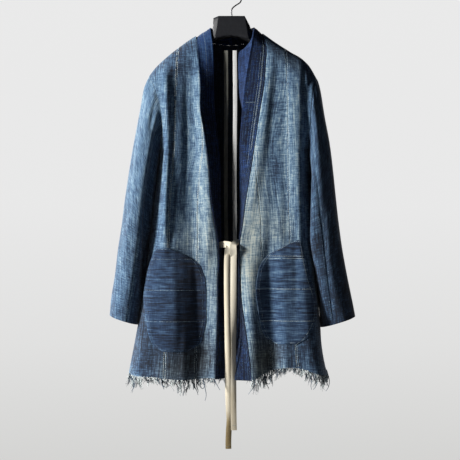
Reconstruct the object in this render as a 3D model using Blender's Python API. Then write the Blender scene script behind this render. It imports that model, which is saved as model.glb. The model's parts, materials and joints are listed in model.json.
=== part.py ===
"""A long open haori coat with a raw fringed hem, hanging on its hanger.

The frame has its origin at the inside top of the hook, +Z up, the open
front towards -Y, and left and right as seen from the front. All tables
are in millimetres and read from the top down.
"""

import math

import bpy
import numpy as np

MM = 0.001
WALL = 1.6
SEAM_GAP = 0.3
ARMHOLE_GAP = 0.6
PATCH_GAP = 2.3
PATCH_THICKNESS = 2.0
SIDE_ROUNDING = 42.0
UNDERARM_Z = -421.0
CENTRE_BACK_X = -3.0
ARMHOLE_ROWS = 10
SKIRT_ROWS = 10
LEFT = -1
RIGHT = 1
FRONT = -1
BACK = 1

# Shoulder line over the hanger: x, z
RIDGE = (
    (-230, -252), (-215, -229), (-203, -213), (-177, -187), (-135, -153),
    (-94, -125), (-70, -113), (-50, -102), (0, -94), (52, -102),
    (78, -117), (112, -141), (151, -166), (185, -187), (203, -206),
    (217, -230), (230, -254),
)
# Back neckline: x, z
NECKLINE = (
    (-94, -125), (-80, -131), (-60, -138), (-30, -143), (0, -145),
    (30, -142), (55, -135), (68, -127), (80, -118.3),
)
# Side seam under the arm: z, left x, right x
SIDE_SEAM = (
    (-421, -187, 205), (-480, -193, 205), (-551, -202, 206),
    (-668, -215, 212), (-733, -223, 217), (-785, -230, 221),
    (-824, -236, 225), (-868, -243, 229), (-928, -254, 233),
    (-980, -264, 242), (-1020, -271, 253),
)
# How far the front and the back stand off the side seams: z, front, back
DEPTH = (
    (-90, 24, 24), (-150, 33, 31), (-220, 41, 38), (-300, 48, 43),
    (-421, 54, 47), (-550, 60, 50), (-668, 65, 53), (-800, 72, 58),
    (-900, 79, 63), (-1020, 90, 70),
)
# Seam of the collar band on the left front: z, x
COLLAR_SEAM_LEFT = (
    (-125, -94), (-150, -90), (-198, -86), (-256, -82), (-322, -82),
    (-363, -75), (-402, -69), (-480, -59), (-539, -55), (-595, -48),
    (-646, -39), (-703, -35), (-761, -38), (-819, -38), (-914, -41),
    (-1020, -43),
)
# Seam of the collar band on the right front: z, x
COLLAR_SEAM_RIGHT = (
    (-118.3, 80), (-157, 89), (-200, 87), (-246, 84), (-325, 71.5),
    (-384, 62.5), (-461, 51), (-540, 38), (-616, 28), (-662, 20.5),
    (-705, 20.5), (-756, 22.6), (-807, 25), (-883, 35.6), (-959, 45.6),
    (-1020, 51),
)
# Width of the centre strips, which start narrow at the chest: z, left, right
CENTRE_STRIP = (
    (-421, 8, 3), (-480, 23, 14), (-540, 31, 30), (-600, 41, 43),
    (-680, 52, 57), (-800, 52, 62), (-920, 51, 58), (-1020, 51, 52),
)
# Seam between the side and the middle strips: z, left x, right x
PANEL_SEAM = (
    (-150, -139, 139), (-317, -146, 143), (-421, -149, 144),
    (-551, -159, 145), (-655, -162, 148), (-800, -166, 156),
    (-946, -169, 164), (-1020, -172, 169),
)
# Hem: x, front z, back z
HEM = (
    (-275, -996, -996), (-250, -1000, -995), (-213, -1001, -992),
    (-110, -1009, -996), (-46, -1005, -999), (0, -1008, -1000),
    (51, -1009, -998), (88, -991, -992), (112, -983, -988),
    (175, -981, -988), (222, -997, -996), (255, -1006, -1006),
)
# Largest folds: side, face, top x, top z, bottom x, bottom z, out, half width
FOLDS = (
    (LEFT, FRONT, -176, -190, -182, -690, 6, 16),
    (LEFT, FRONT, -141, -180, -150, -690, -12, 24),
    (LEFT, FRONT, -84, -170, -62, -470, 3, 18),
    (LEFT, FRONT, -158, -790, -166, -1080, 8, 30),
    (LEFT, FRONT, -74, -780, -70, -1080, -11, 24),
    (RIGHT, FRONT, 86, -160, 46, -550, 3, 12),
    (RIGHT, FRONT, 106, -187, 98, -560, -6, 16),
    (RIGHT, FRONT, 172, -180, 172, -690, 9, 26),
    (RIGHT, FRONT, 50, -800, 60, -1080, 8, 18),
    (RIGHT, FRONT, 102, -780, 106, -1080, -8, 24),
    (RIGHT, FRONT, 190, -880, 200, -1080, 6, 20),
    (LEFT, BACK, -96, -240, -118, -760, -9, 28),
    (LEFT, BACK, -60, -700, -70, -1080, 8, 26),
    (LEFT, BACK, -190, -800, -205, -1080, -8, 24),
    (RIGHT, BACK, 120, -220, 112, -720, -9, 26),
    (RIGHT, BACK, 48, -760, 60, -1080, -9, 24),
    (RIGHT, BACK, 150, -760, 160, -1080, 8, 26),
)
# Armhole: tip x, tip z, underarm x, front depth, back depth, inward curve
ARMHOLE = {
    LEFT: (-215, -229, -187, 49, 45, 18),
    RIGHT: (217, -230, 205, 49, 45, 8),
}
# Sleeves: outer x, outer z, inner z, front depth, back depth, inward curve
SLEEVE = {
    LEFT: (
        (-215, -229, -421, 49, 45, 18), (-228, -262, -446, 56, 51, 12),
        (-239, -317, -482, 63, 56, 6), (-257, -421, -545, 70, 58, 1),
        (-277, -551, -622, 74, 55, 0), (-286, -616, -670, 74, 52, 0),
        (-296, -681, -722, 71, 48, 0), (-304, -746, -776, 67, 43, 0),
        (-312, -798, -824, 62, 40, 0), (-317, -850, -874, 58, 38, 0),
    ),
    RIGHT: (
        (217, -230, -421, 49, 45, 8), (229, -265, -446, 56, 51, 5),
        (241, -330, -482, 63, 56, 2), (255, -414, -540, 70, 58, 0),
        (270, -551, -620, 74, 55, 0), (278, -615, -668, 74, 52, 0),
        (287, -680, -722, 71, 48, 0), (298, -740, -776, 67, 43, 0),
        (309, -797, -830, 62, 40, 0), (320, -853, -881, 58, 38, 0),
    ),
}
# Collar band on the fronts: z, fold x, fold y
BAND_LEFT = (
    (-150, -49, -26), (-198, -47, -26), (-265, -47, -24),
    (-330, -44, -28), (-400, -36, -27), (-478, -30, -24),
    (-540, -30, -22), (-600, -29, -22), (-650, -29, -21),
    (-705, -27, -23), (-764, -24, -27), (-824, -21, -32),
    (-920, -19, -42), (-1020, -18, -55),
)
BAND_RIGHT = (
    (-150, 51, -40), (-213, 40, -40), (-270, 32, -38), (-330, 26, -40),
    (-400, 21, -40), (-461, 21, -26), (-540, 20, -20), (-616, 19, -20),
    (-662, 17, -21), (-705, 17, -23), (-756, 15, -26), (-807, 13, -30),
    (-883, 11, -42), (-959, 9, -62), (-1020, 8, -84),
)
# Collar band round the neck: seam x, fold x, fold y, fold z
BAND_NECK = (
    (-94, -56, 0, -104), (-80, -50, 22, -103), (-60, -38, 36, -102),
    (-30, -20, 43, -101), (0, 0, 45, -101), (30, 20, 43, -101),
    (55, 38, 36, -101), (68, 50, 22, -102), (80, 57, 0, -103),
)
BAND_HALF = 33.0
BAND_TURN = 9.0
BAND_FOLD = 4.6
# Inner half of the right band where it lies open: z, share, free edge x, y, z
BAND_OPEN = (
    (-118, 0.0, 72, -8, -130), (-124, 1.0, 66, -13, -136),
    (-131, 1.0, 53, -23, -147), (-138, 1.0, 37, -28, -157),
    (-156, 1.0, 17, -27, -170), (-213, 1.0, 16, -18, -216),
    (-280, 1.0, 19, -9, -283), (-330, 0.8, 22, -9, -333),
    (-400, 0.0, 22, -12, -403), (-1030, 0.0, 22, -60, -1033),
)
# Patch pockets: z, left x, right x
POCKET_LEFT = (
    (-675, -190, -158), (-693, -198, -120), (-710, -204, -92),
    (-738, -212, -74), (-781, -221, -67), (-820, -223, -66.5),
    (-863, -216, -66.5), (-896, -211, -74), (-921, -198, -84),
    (-937, -175, -112),
)
POCKET_RIGHT = (
    (-655, 165, 173), (-670, 134, 177), (-690, 96, 182), (-718, 73, 188),
    (-756, 63, 197), (-794, 60.5, 209), (-820, 64, 215), (-863, 70, 212),
    (-891, 79, 198), (-909, 94, 183), (-919, 114, 165),
)
# Tape ties: x, y, z, turn of the face in degrees
TAPE_LEFT = (
    (-9, -63.5, -676.9, 10), (-12, -68, -700, 25), (-12.5, -70, -760, 28),
    (-12, -71, -850, 22), (-11, -72, -950, 18), (-10, -73, -1040, 20),
    (-8, -73, -1085, 50), (-6.5, -73, -1112, 85), (-8, -73, -1140, 140),
    (-9, -72, -1163, 160), (-9, -72, -1186, 168),
)
TAPE_RIGHT = (
    (5, -67, -676.9, -5), (4, -73, -700, -4), (3.6, -74, -760, 4),
    (3.6, -75, -820, 10), (4, -76, -870, 40), (4.5, -77, -910, 78),
    (4.5, -78, -980, 84), (4, -78, -1030, 115), (4, -77, -1090, 128),
    (5, -76, -1138, 150),
)
TAPE_WIDTH = 17.0
TAPE_THICKNESS = 1.2
# Pale bindings inside the centre back: middle x, width
BINDINGS = {LEFT: (-15.5, 8.0), RIGHT: (7.5, 9.5)}
BINDING_BOTTOM = -985.0
# Hanger outline: x, top z, bottom z, half depth
HANGER = (
    (-203, -219, -232, 5), (-196, -210, -234, 8), (-177, -190.2, -219, 9),
    (-156, -172.8, -203, 9), (-135, -156.2, -188, 9), (-114, -140.8, -174, 9),
    (-101, -136, -166, 9), (-92, -136, -160, 9), (-70, -124, -151, 9),
    (-57, -116, -145, 10), (-50, -108, -141, 12), (-48, -80, -139, 18),
    (-34, -75, -134, 24), (-18, -75, -129, 24), (0, -75, -127, 24),
    (18, -75, -129, 24), (33, -75, -135, 24), (46, -99, -139, 19),
    (51, -111, -141, 12), (58, -119, -145, 10), (70, -128, -152, 9),
    (82, -134, -159, 9), (92, -136, -165, 9), (112, -145, -175, 9),
    (131, -158, -187, 9), (151, -170, -198, 9), (185, -191.5, -216, 9),
    (197, -205, -224, 7), (204, -213, -228, 5),
)
HOOK_WIRE = 1.7
HOOK_CENTRE = (1.0, -23.0)
HOOK_RADIUS = 24.7
FRINGE_STRIP = 2.0
FRINGE_GAP = 0.6


def curve(rows, at, column=1):
    """Smooth curve through the rows of a table, read at one or many places."""
    table = sorted((row[0], row[column]) for row in rows)
    knots = np.array([row[0] for row in table], float)
    values = np.array([row[1] for row in table], float)
    step = np.diff(knots)
    slope = np.diff(values) / step
    tangent = np.empty_like(values)
    tangent[0] = slope[0]
    tangent[-1] = slope[-1]
    tangent[1:-1] = (slope[:-1] * step[1:] + slope[1:] * step[:-1]) / (step[:-1] + step[1:])
    at = np.clip(np.asarray(at, float), knots[0], knots[-1])
    i = np.clip(np.searchsorted(knots, at, side="right") - 1, 0, len(step) - 1)
    u = (at - knots[i]) / step[i]
    h00 = (1 + 2 * u) * (1 - u) ** 2
    h10 = u * (1 - u) ** 2
    h01 = u * u * (3 - 2 * u)
    h11 = u * u * (u - 1)
    return (
        h00 * values[i] + h10 * step[i] * tangent[i]
        + h01 * values[i + 1] + h11 * step[i] * tangent[i + 1]
    )


def quarter(u):
    """Rise of a quarter circle from 0 to 1."""
    u = np.clip(u, 0.0, 1.0)
    return np.sqrt(1.0 - (1.0 - u) ** 2)


def outer_edge(side, face, z):
    """The armhole, then the side seam: x and how far it stands off y = 0."""
    tip_x, tip_z, under_x, front, back, inward = ARMHOLE[side]
    middle = 0.5 * (tip_z + UNDERARM_Z)
    half = 0.5 * (tip_z - UNDERARM_Z)
    c = np.clip((z - middle) / half, -1.0, 1.0)
    s2 = 1.0 - c * c
    loop = under_x + (tip_x - under_x) * 0.5 * (c + 1.0) - side * inward * s2
    seam = curve(SIDE_SEAM, z, 1 if side == LEFT else 2)
    above = z > UNDERARM_Z
    depth = front if face == FRONT else back
    return np.where(above, loop, seam), np.where(above, depth * np.sqrt(s2), 0.0)


def folds(side, face, x, z):
    """Sum of the largest folds at a point, out of the cloth."""
    total = np.zeros(np.broadcast(x, z).shape)
    for row in FOLDS:
        if row[0] != side or row[1] != face:
            continue
        top_x, top_z, low_x, low_z, out, half = row[2:]
        t = np.clip((top_z - z) / (top_z - low_z), 0.0, 1.0)
        across = np.clip(np.abs(x - (top_x + (low_x - top_x) * t)) / (1.6 * half), 0.0, 1.0)
        fade = np.sin(math.pi * t) ** 0.6
        total = total + out * fade * np.cos(0.5 * math.pi * across) ** 2
    return total


def cloth_y(side, face, x, z):
    """Outer face of the front or the back at x and z."""
    edge_x, edge_y = outer_edge(side, face, z)
    inward = side * (edge_x - x)
    near = quarter(inward / SIDE_ROUNDING)
    below = curve(RIDGE, x) - z
    rounding = 26.0 + 0.24 * np.abs(x)
    over = quarter(below / rounding)
    depth = curve(DEPTH, z, 1 if face == FRONT else 2)
    full = (depth + folds(side, face, x, z) * near) * over
    return face * (edge_y * (1.0 - near) + full * near)


def cloth_normal(side, face, x, z):
    """Unit normal of the cloth, pointing out of the coat."""
    h = 0.5
    dx = (cloth_y(side, face, x + h, z) - cloth_y(side, face, x - h, z)) / (2 * h)
    dz = (cloth_y(side, face, x, z + h) - cloth_y(side, face, x, z - h)) / (2 * h)
    n = np.stack([-dx, np.ones_like(dx), -dz], axis=-1) * face
    return n / np.linalg.norm(n, axis=-1, keepdims=True)


def collar_seam(side, z):
    return curve(COLLAR_SEAM_LEFT if side == LEFT else COLLAR_SEAM_RIGHT, z)


def panel_seam(side, z):
    return curve(PANEL_SEAM, z, 1 if side == LEFT else 2)


def centre_seam(side, z):
    width = curve(CENTRE_STRIP, z, 1 if side == LEFT else 2)
    return collar_seam(side, z) + side * np.where(z > UNDERARM_Z + 0.01, 0.0, width)


def top_edge(face, x):
    if face == FRONT:
        return curve(RIDGE, x)
    inside = (x > NECKLINE[0][0]) & (x < NECKLINE[-1][0])
    return np.where(inside, curve(NECKLINE, x), curve(RIDGE, x))


def strip_points(side, face, near_edge, far_edge, share, short=False):
    """Outer points and normals of one strip of cloth, top to hem."""
    share = np.asarray(share, float)

    def across(z):
        a = near_edge(z)
        b = far_edge(z)
        return a + (b - a) * share

    z_top = np.full(len(share), -150.0)
    for _ in range(40):
        z_top = 0.5 * z_top + 0.5 * top_edge(face, across(z_top))
    z_hem = np.full(len(share), -1000.0)
    for _ in range(20):
        z_hem = curve(HEM, across(z_hem), 1 if face == FRONT else 2)
    grid = []
    if not short:
        for j in range(ARMHOLE_ROWS):
            drop = 0.5 * (1.0 - math.cos(math.pi * j / ARMHOLE_ROWS))
            grid.append(z_top + (UNDERARM_Z - z_top) * drop)
    for j in range(SKIRT_ROWS + 1):
        grid.append(UNDERARM_Z + (z_hem - UNDERARM_Z) * j / SKIRT_ROWS)
    z = np.array(grid)
    x = np.array([across(row) for row in z])
    y = cloth_y(side, face, x, z)
    return np.stack([x, y, z], axis=-1), cloth_normal(side, face, x, z)


def object_from(name, verts, faces, material, smooth=True):
    mesh = bpy.data.meshes.new(name)
    mesh.from_pydata([tuple(v * MM for v in p) for p in verts], [], faces)
    mesh.update()
    if smooth:
        mesh.shade_smooth()
        mesh.set_sharp_from_angle(angle=math.radians(50))
    mesh.materials.append(material)
    obj = bpy.data.objects.new(name, mesh)
    bpy.context.scene.collection.objects.link(obj)
    return obj


def signed_volume(verts, faces):
    v = np.asarray(verts, float)
    total = 0.0
    for f in faces:
        for k in range(1, len(f) - 1):
            total += np.dot(v[f[0]], np.cross(v[f[k]], v[f[k + 1]]))
    return total


def sheet_object(name, outer, inner, material):
    """Closed wall between two grids of points with the same layout."""
    rows, cols = outer.shape[:2]
    verts = [tuple(p) for p in outer.reshape(-1, 3)] + [tuple(p) for p in inner.reshape(-1, 3)]
    off = rows * cols
    faces = []
    for j in range(rows - 1):
        for i in range(cols - 1):
            a = j * cols + i
            b, c, d = a + 1, a + cols + 1, a + cols
            faces += [(a, b, c), (a, c, d)]
            faces += [(off + a, off + c, off + b), (off + a, off + d, off + c)]
    rim = [j * cols for j in range(rows)]
    rim += [(rows - 1) * cols + i for i in range(1, cols)]
    rim += [j * cols + cols - 1 for j in range(rows - 2, -1, -1)]
    rim += [i for i in range(cols - 2, 0, -1)]
    climb = range(rows + cols - 2, 2 * rows + cols - 3)
    for k, (a, b) in enumerate(zip(rim, rim[1:] + rim[:1])):
        if k in climb:
            faces += [(a, b, off + a), (b, off + b, off + a)]
        else:
            faces += [(a, b, off + b), (a, off + b, off + a)]
    if signed_volume(verts, faces) < 0:
        faces = [f[::-1] for f in faces]
    return object_from(name, verts, faces, material)


def loft_object(name, rings, material, smooth=True):
    """Closed body through rings of points, with flat ends."""
    rings = [np.asarray(r, float) for r in rings]
    n = len(rings[0])
    verts = [tuple(p) for r in rings for p in r]
    faces = []
    for j in range(len(rings) - 1):
        for i in range(n):
            a = j * n + i
            b = j * n + (i + 1) % n
            faces += [(a, b, b + n), (a, b + n, a + n)]
    faces.append(tuple(range(n - 1, -1, -1)))
    last = (len(rings) - 1) * n
    faces.append(tuple(range(last, last + n)))
    if signed_volume(verts, faces) < 0:
        faces = [f[::-1] for f in faces]
    return object_from(name, verts, faces, material, smooth)


def material(name, colour, roughness, metallic=0.0):
    made = bpy.data.materials.new(name)
    made.use_nodes = True
    shader = made.node_tree.nodes["Principled BSDF"]
    shader.inputs["Base Color"].default_value = (*colour, 1.0)
    shader.inputs["Roughness"].default_value = roughness
    shader.inputs["Metallic"].default_value = metallic
    made.diffuse_color = (*colour, 1.0)
    return made


def loop_normals(side, face):
    """Normals shared by both sides of the armhole seam."""
    tip_x, tip_z, under_x, front, back, inward = ARMHOLE[side]
    half = 0.5 * (tip_z - UNDERARM_Z)
    depth = front if face == FRONT else back
    angle = np.pi * np.arange(ARMHOLE_ROWS + 1) / ARMHOLE_ROWS
    n = np.stack([0 * angle, face * np.sin(angle) / depth, np.cos(angle) / half], axis=-1)
    return n / np.linalg.norm(n, axis=-1, keepdims=True)


def flat_normal(dx, dz):
    """Normal in the plane of x and z to a line of that direction."""
    n = np.stack([-dz, 0 * dx, dx], axis=-1)
    return n / np.linalg.norm(n, axis=-1, keepdims=True)


def build_strip(name, side, face, near_edge, far_edge, share, cloth, outermost=False, short=False):
    """One strip of the front or the back. Gives back its outer and inner points."""
    points, normals = strip_points(side, face, near_edge, far_edge, share, short)
    if not short:
        on_ridge = np.abs(points[0, :, 1]) < 0.01
        x = points[0, :, 0]
        slope = (curve(RIDGE, x + 1.0) - curve(RIDGE, x - 1.0)) / 2.0
        up = flat_normal(np.ones_like(x), slope)
        normals[0, on_ridge] = up[on_ridge]
    if outermost:
        normals[: ARMHOLE_ROWS + 1, -1] = loop_normals(side, face)
        z = points[ARMHOLE_ROWS + 1:, -1, 2]
        slope = (outer_edge(side, face, z + 1.0)[0] - outer_edge(side, face, z - 1.0)[0]) / 2.0
        out = flat_normal(-side * slope, -side * np.ones_like(z))
        normals[ARMHOLE_ROWS + 1:, -1] = out
        corner = normals[ARMHOLE_ROWS, -1] + out[0]
        normals[ARMHOLE_ROWS, -1] = corner / np.linalg.norm(corner)
    half = 0.5 * SEAM_GAP
    points[:, 0, 0] += side * half
    if outermost:
        points[ARMHOLE_ROWS:, -1, 1] += face * half
    else:
        points[:, -1, 0] -= side * half
    if short:
        points[0, :, 2] -= half
    else:
        on_ridge = np.abs(points[0, :, 1]) < 0.2
        points[0, :, 1] += np.where(on_ridge, face * half, 0.0)
        points[0, :, 2] -= np.where(on_ridge, 0.0, half)
    sheet_object(name, points, points - WALL * normals, cloth)
    return points, points - WALL * normals


def sleeve_ring(side, s):
    """Ring of points round the sleeve at station s, from the outer line round by the front."""
    rows = SLEEVE[side]
    stations = [(k, *row) for k, row in enumerate(rows)]
    outer_x, outer_z, inner_z, front, back, inward = (float(curve(stations, s, c)) for c in range(1, 7))
    gap = ARMHOLE_GAP + 0.4 * min(s, 1.0)
    inner_x = float(outer_edge(side, FRONT, np.array(min(inner_z, UNDERARM_Z - 0.001)))[0]) + side * gap
    if s == 0:
        outer_x += side * ARMHOLE_GAP
    count = 2 * ARMHOLE_ROWS
    angle = 2.0 * np.pi * np.arange(count) / count
    c = np.cos(angle)
    sn = np.sin(angle)
    x = 0.5 * (outer_x + inner_x) + 0.5 * (outer_x - inner_x) * c - side * inward * sn * sn
    z = 0.5 * (outer_z + inner_z) + 0.5 * (outer_z - inner_z) * c
    y = np.where(sn > 0, -front * sn, -back * sn)
    return np.stack([x, y, z], axis=-1)


def build_sleeve(side, names, cloth, stations):
    rings = np.array([sleeve_ring(side, s) for s in stations])
    count = rings.shape[1]
    along = np.gradient(rings, axis=0)
    around = np.roll(rings, -1, axis=1) - np.roll(rings, 1, axis=1)
    normals = np.cross(along, around)
    normals /= np.linalg.norm(normals, axis=-1, keepdims=True)
    middle = rings.mean(axis=1, keepdims=True)
    if np.sum(normals * (rings - middle)) < 0:
        normals = -normals
    front = loop_normals(side, FRONT)
    back = loop_normals(side, BACK)
    normals[0, : ARMHOLE_ROWS + 1] = front
    normals[0, ARMHOLE_ROWS + 1:] = back[1:-1][::-1]
    front_seam = round(ARMHOLE_ROWS * 108 / 180)
    back_seam = count - round(ARMHOLE_ROWS * 126 / 180)
    upper = list(range(back_seam - count, front_seam + 1))
    under = list(range(front_seam, back_seam + 1))
    for name, picks in zip(names, (upper, under)):
        idx = [k % count for k in picks]
        outer = rings[:, idx].copy()
        n = normals[:, idx]
        for edge, beside in ((0, 1), (-1, -2)):
            step = outer[:, beside] - outer[:, edge]
            step /= np.linalg.norm(step, axis=-1, keepdims=True)
            outer[:, edge] += SEAM_GAP * step
        sheet_object(name, outer, outer - WALL * n, cloth)


def band_rows():
    """Seam, fold and free edge of the collar band, from hem to hem."""
    rows = []
    left_z = np.concatenate([np.linspace(-1008, -160, 17), [-140, -130]])
    right_z = np.concatenate([[-124, -131, -138, -147], np.linspace(-160, -1010, 20)])
    neck = np.linspace(0, len(BAND_NECK) - 1, 11)
    for z in left_z:
        rows.append(band_row(LEFT, z))
    for k in neck:
        stations = [(i, *row) for i, row in enumerate(BAND_NECK)]
        seam_x, fold_x, fold_y, fold_z = (float(curve(stations, k, c)) for c in range(1, 5))
        seam_z = float(curve(NECKLINE, seam_x))
        side = LEFT if seam_x < CENTRE_BACK_X else RIGHT
        seam_y = 0.0
        if 0 < k < len(BAND_NECK) - 1:
            seam_y = float(cloth_y(side, BACK, np.array(seam_x), np.array(seam_z)))
        seam = np.array([seam_x, seam_y, seam_z])
        fold = np.array([fold_x, fold_y, fold_z])
        rows.append((seam, fold, turned_edge(seam, fold)))
    for z in right_z:
        rows.append(band_row(RIGHT, z))
    return rows


def turned_edge(seam, fold):
    """Free edge of the inner half, folded back inside the outer half."""
    v = seam - fold
    length = np.linalg.norm(v)
    inside = np.array([0.0, 0.0, -160.0]) - fold
    if fold[2] < -150.0:
        inside = np.array([np.sign(fold[0]) * 30.0, 25.0, 0.0])
    inside = inside - v * np.dot(inside, v) / length**2
    inside = inside / np.linalg.norm(inside)
    return fold + v / length * min(BAND_HALF, 0.82 * length) + BAND_TURN * inside


def band_row(side, z):
    seam_x = float(collar_seam(side, z))
    seam_y = float(cloth_y(side, FRONT, np.array(seam_x), np.array(z)))
    seam = np.array([seam_x, seam_y, z])
    table = BAND_LEFT if side == LEFT else BAND_RIGHT
    neck = BAND_NECK[0] if side == LEFT else BAND_NECK[-1]
    start = NECKLINE[0][1] if side == LEFT else NECKLINE[-1][1]
    fold = np.array([float(curve(table, z, 1)), float(curve(table, z, 2)), z])
    if z > -150.0:
        t = (z + 150.0) / (start + 150.0)
        low = np.array([float(curve(table, -150.0, 1)), float(curve(table, -150.0, 2)), -150.0])
        high = np.array(neck[1:])
        fold = low + (high - low) * t
        fold[1] = low[1] * math.sqrt(max(0.0, 1.0 - t**2))
    free = turned_edge(seam, fold)
    if side == RIGHT:
        table = np.array(BAND_OPEN)
        share, *opened = (np.interp(-z, -table[:, 0], table[:, c]) for c in range(1, 5))
        free = free + (np.array(opened) - free) * share
    return seam, fold, free


def build_band(names, cloth):
    rows = band_rows()
    outer = []
    into_fold = []
    for seam, fold, free in rows:
        a = seam - fold
        a /= np.linalg.norm(a)
        b = free - fold
        b /= np.linalg.norm(b)
        inward = (a + b) / np.linalg.norm(a + b)
        aside = (a - b) / np.linalg.norm(a - b)
        near = fold + inward + 0.5 * BAND_FOLD * aside
        far = fold + inward - 0.5 * BAND_FOLD * aside
        outer.append([seam, 0.5 * (seam + near), near, far, 0.5 * (free + far), free])
        along_half = a @ inward
        deeper = (a @ aside + 0.75 * along_half**2) * inward
        into_fold.append([deeper - along_half * aside, deeper + along_half * aside])
    outer = np.array(outer)
    along = np.gradient(outer, axis=0)
    across = np.gradient(outer, axis=1)
    normals = np.cross(across, along)
    normals /= np.linalg.norm(normals, axis=-1, keepdims=True)
    if normals[int(np.argmax(outer[:, 0, 1])), 1, 1] < 0:
        normals = -normals
    normals[:, 2:4] = -np.array(into_fold)
    middle = int(np.argmin(np.abs(outer[:, 0, 0]) + 1e3 * (outer[:, 0, 1] < 20.0)))
    for j in range(len(outer)):
        step = outer[j, 1] - outer[j, 0]
        step /= np.linalg.norm(step)
        outer[j, 0] += ARMHOLE_GAP * step
        if outer[j, 0, 1] < -0.5:
            toward = -np.sign(outer[j, 0, 0] - 1.0)
            low = min(max((-350.0 - outer[j, 0, 2]) / 250.0, 0.0), 1.0)
            outer[j, 0, 0] += toward * (0.3 + 1.5 * low + WALL * abs(normals[j, 0, 0]))
    cut = outer.copy()
    for name, part, edge in ((names[0], slice(0, middle + 1), -1), (names[1], slice(middle, None), 0)):
        points = cut[part].copy()
        points[edge] += (0.5 * SEAM_GAP * np.array([np.sign(edge + 0.5), 0.0, 0.0]))
        sheet_object(name, points, points - WALL * normals[part], cloth)


def height_on(grids, x, z):
    """y of the faceted cloth at x and z, read from its triangles."""
    a, b, c = [], [], []
    for g in grids:
        a += [g[:-1, :-1].reshape(-1, 3), g[:-1, :-1].reshape(-1, 3)]
        b += [g[:-1, 1:].reshape(-1, 3), g[1:, 1:].reshape(-1, 3)]
        c += [g[1:, 1:].reshape(-1, 3), g[1:, :-1].reshape(-1, 3)]
    a, b, c = (np.concatenate(part) for part in (a, b, c))
    u = (b - a)[:, [0, 2]]
    v = (c - a)[:, [0, 2]]
    area = u[:, 0] * v[:, 1] - u[:, 1] * v[:, 0]
    area = np.where(np.abs(area) < 1e-9, 1e-9, area)
    out = np.empty(x.shape)
    for k in np.ndindex(x.shape):
        d = np.array([x[k], z[k]]) - a[:, [0, 2]]
        s = (d[:, 0] * v[:, 1] - d[:, 1] * v[:, 0]) / area
        t = (u[:, 0] * d[:, 1] - u[:, 1] * d[:, 0]) / area
        outside = np.maximum.reduce([-s, -t, s + t - 1.0])
        best = int(np.argmin(outside))
        out[k] = a[best, 1] + s[best] * (b - a)[best, 1] + t[best] * (c - a)[best, 1]
    return out


def build_pocket(name, side, rows, grids, cloth):
    share = np.array([0, 0.12, 0.25, 0.38, 0.5, 0.62, 0.74, 0.84, 0.93, 1.0])
    points = []
    heights = [-r[0] for r in rows]
    for z in np.linspace(rows[0][0], rows[-1][0], 15):
        left = float(np.interp(-z, heights, [r[1] for r in rows]))
        right = float(np.interp(-z, heights, [r[2] for r in rows]))
        inner, outer = (right, left) if side == LEFT else (left, right)
        points.append([(x, z) for x in inner + (outer - inner) * share])
    flat = np.array(points)
    x = flat[..., 0]
    z = flat[..., 1]
    base = np.stack([x, height_on(grids, x, z), z], axis=-1)
    n = cloth_normal(side, FRONT, x, z)
    sheet_object(name, base + (PATCH_GAP + PATCH_THICKNESS) * n, base + PATCH_GAP * n, cloth)


def build_binding(name, side, x, width, grids, cloth):
    z = np.linspace(-158, BINDING_BOTTOM, 18)
    xs = np.array([x - width / 2, x + width / 2])
    gx, gz = np.meshgrid(xs, z)
    base = np.stack([gx, height_on(grids, gx, gz), gz], axis=-1)
    n = cloth_normal(side, BACK, gx, gz)
    sheet_object(name, base - (WALL + 0.9) * n, base - (WALL + 1.7) * n, cloth)


def build_tape(name, rows, cloth):
    stations = [(k, *row) for k, row in enumerate(rows)]
    front = []
    back = []
    for s in np.linspace(0, len(rows) - 1, 56):
        x, y, z, turn = (float(curve(stations, s, c)) for c in range(1, 5))
        a = math.radians(turn)
        wide = np.array([math.cos(a), math.sin(a), 0.0]) * TAPE_WIDTH / 2
        thin = np.array([-math.sin(a), math.cos(a), 0.0]) * TAPE_THICKNESS / 2
        p = np.array([x, y, z])
        front.append([p + u * wide - thin for u in (-1.0, 0.0, 1.0)])
        back.append([p + u * wide + thin for u in (-1.0, 0.0, 1.0)])
    return sheet_object(name, np.array(front), np.array(back), cloth)


def build_knot(name, cloth):
    """Flat knot between the two band edges, lying across the opening."""
    # Sections: x, y, z, half depth, half height
    sections = (
        (-31.6, -52, -668, 1.0, 7), (-24, -57, -667, 1.2, 7.5), (-13, -61, -667, 2.0, 7),
        (-9, -64, -667, 6.0, 9), (-2, -66, -667, 8.5, 9.6), (5, -65, -666, 7.5, 9.2),
        (9, -61, -665, 3.0, 7.5), (13, -57, -665, 1.4, 7), (17.6, -50, -665, 1.0, 6.5),
    )
    rings = []
    for x, y, z, half_y, half_z in sections:
        ring = []
        for k in range(10):
            a = 2 * math.pi * k / 10
            c = math.copysign(abs(math.cos(a)) ** 0.6, math.cos(a))
            s = math.copysign(abs(math.sin(a)) ** 0.6, math.sin(a))
            ring.append((x, y + half_y * c, z + half_z * s))
        rings.append(ring)
    return loft_object(name, rings, cloth)


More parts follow.
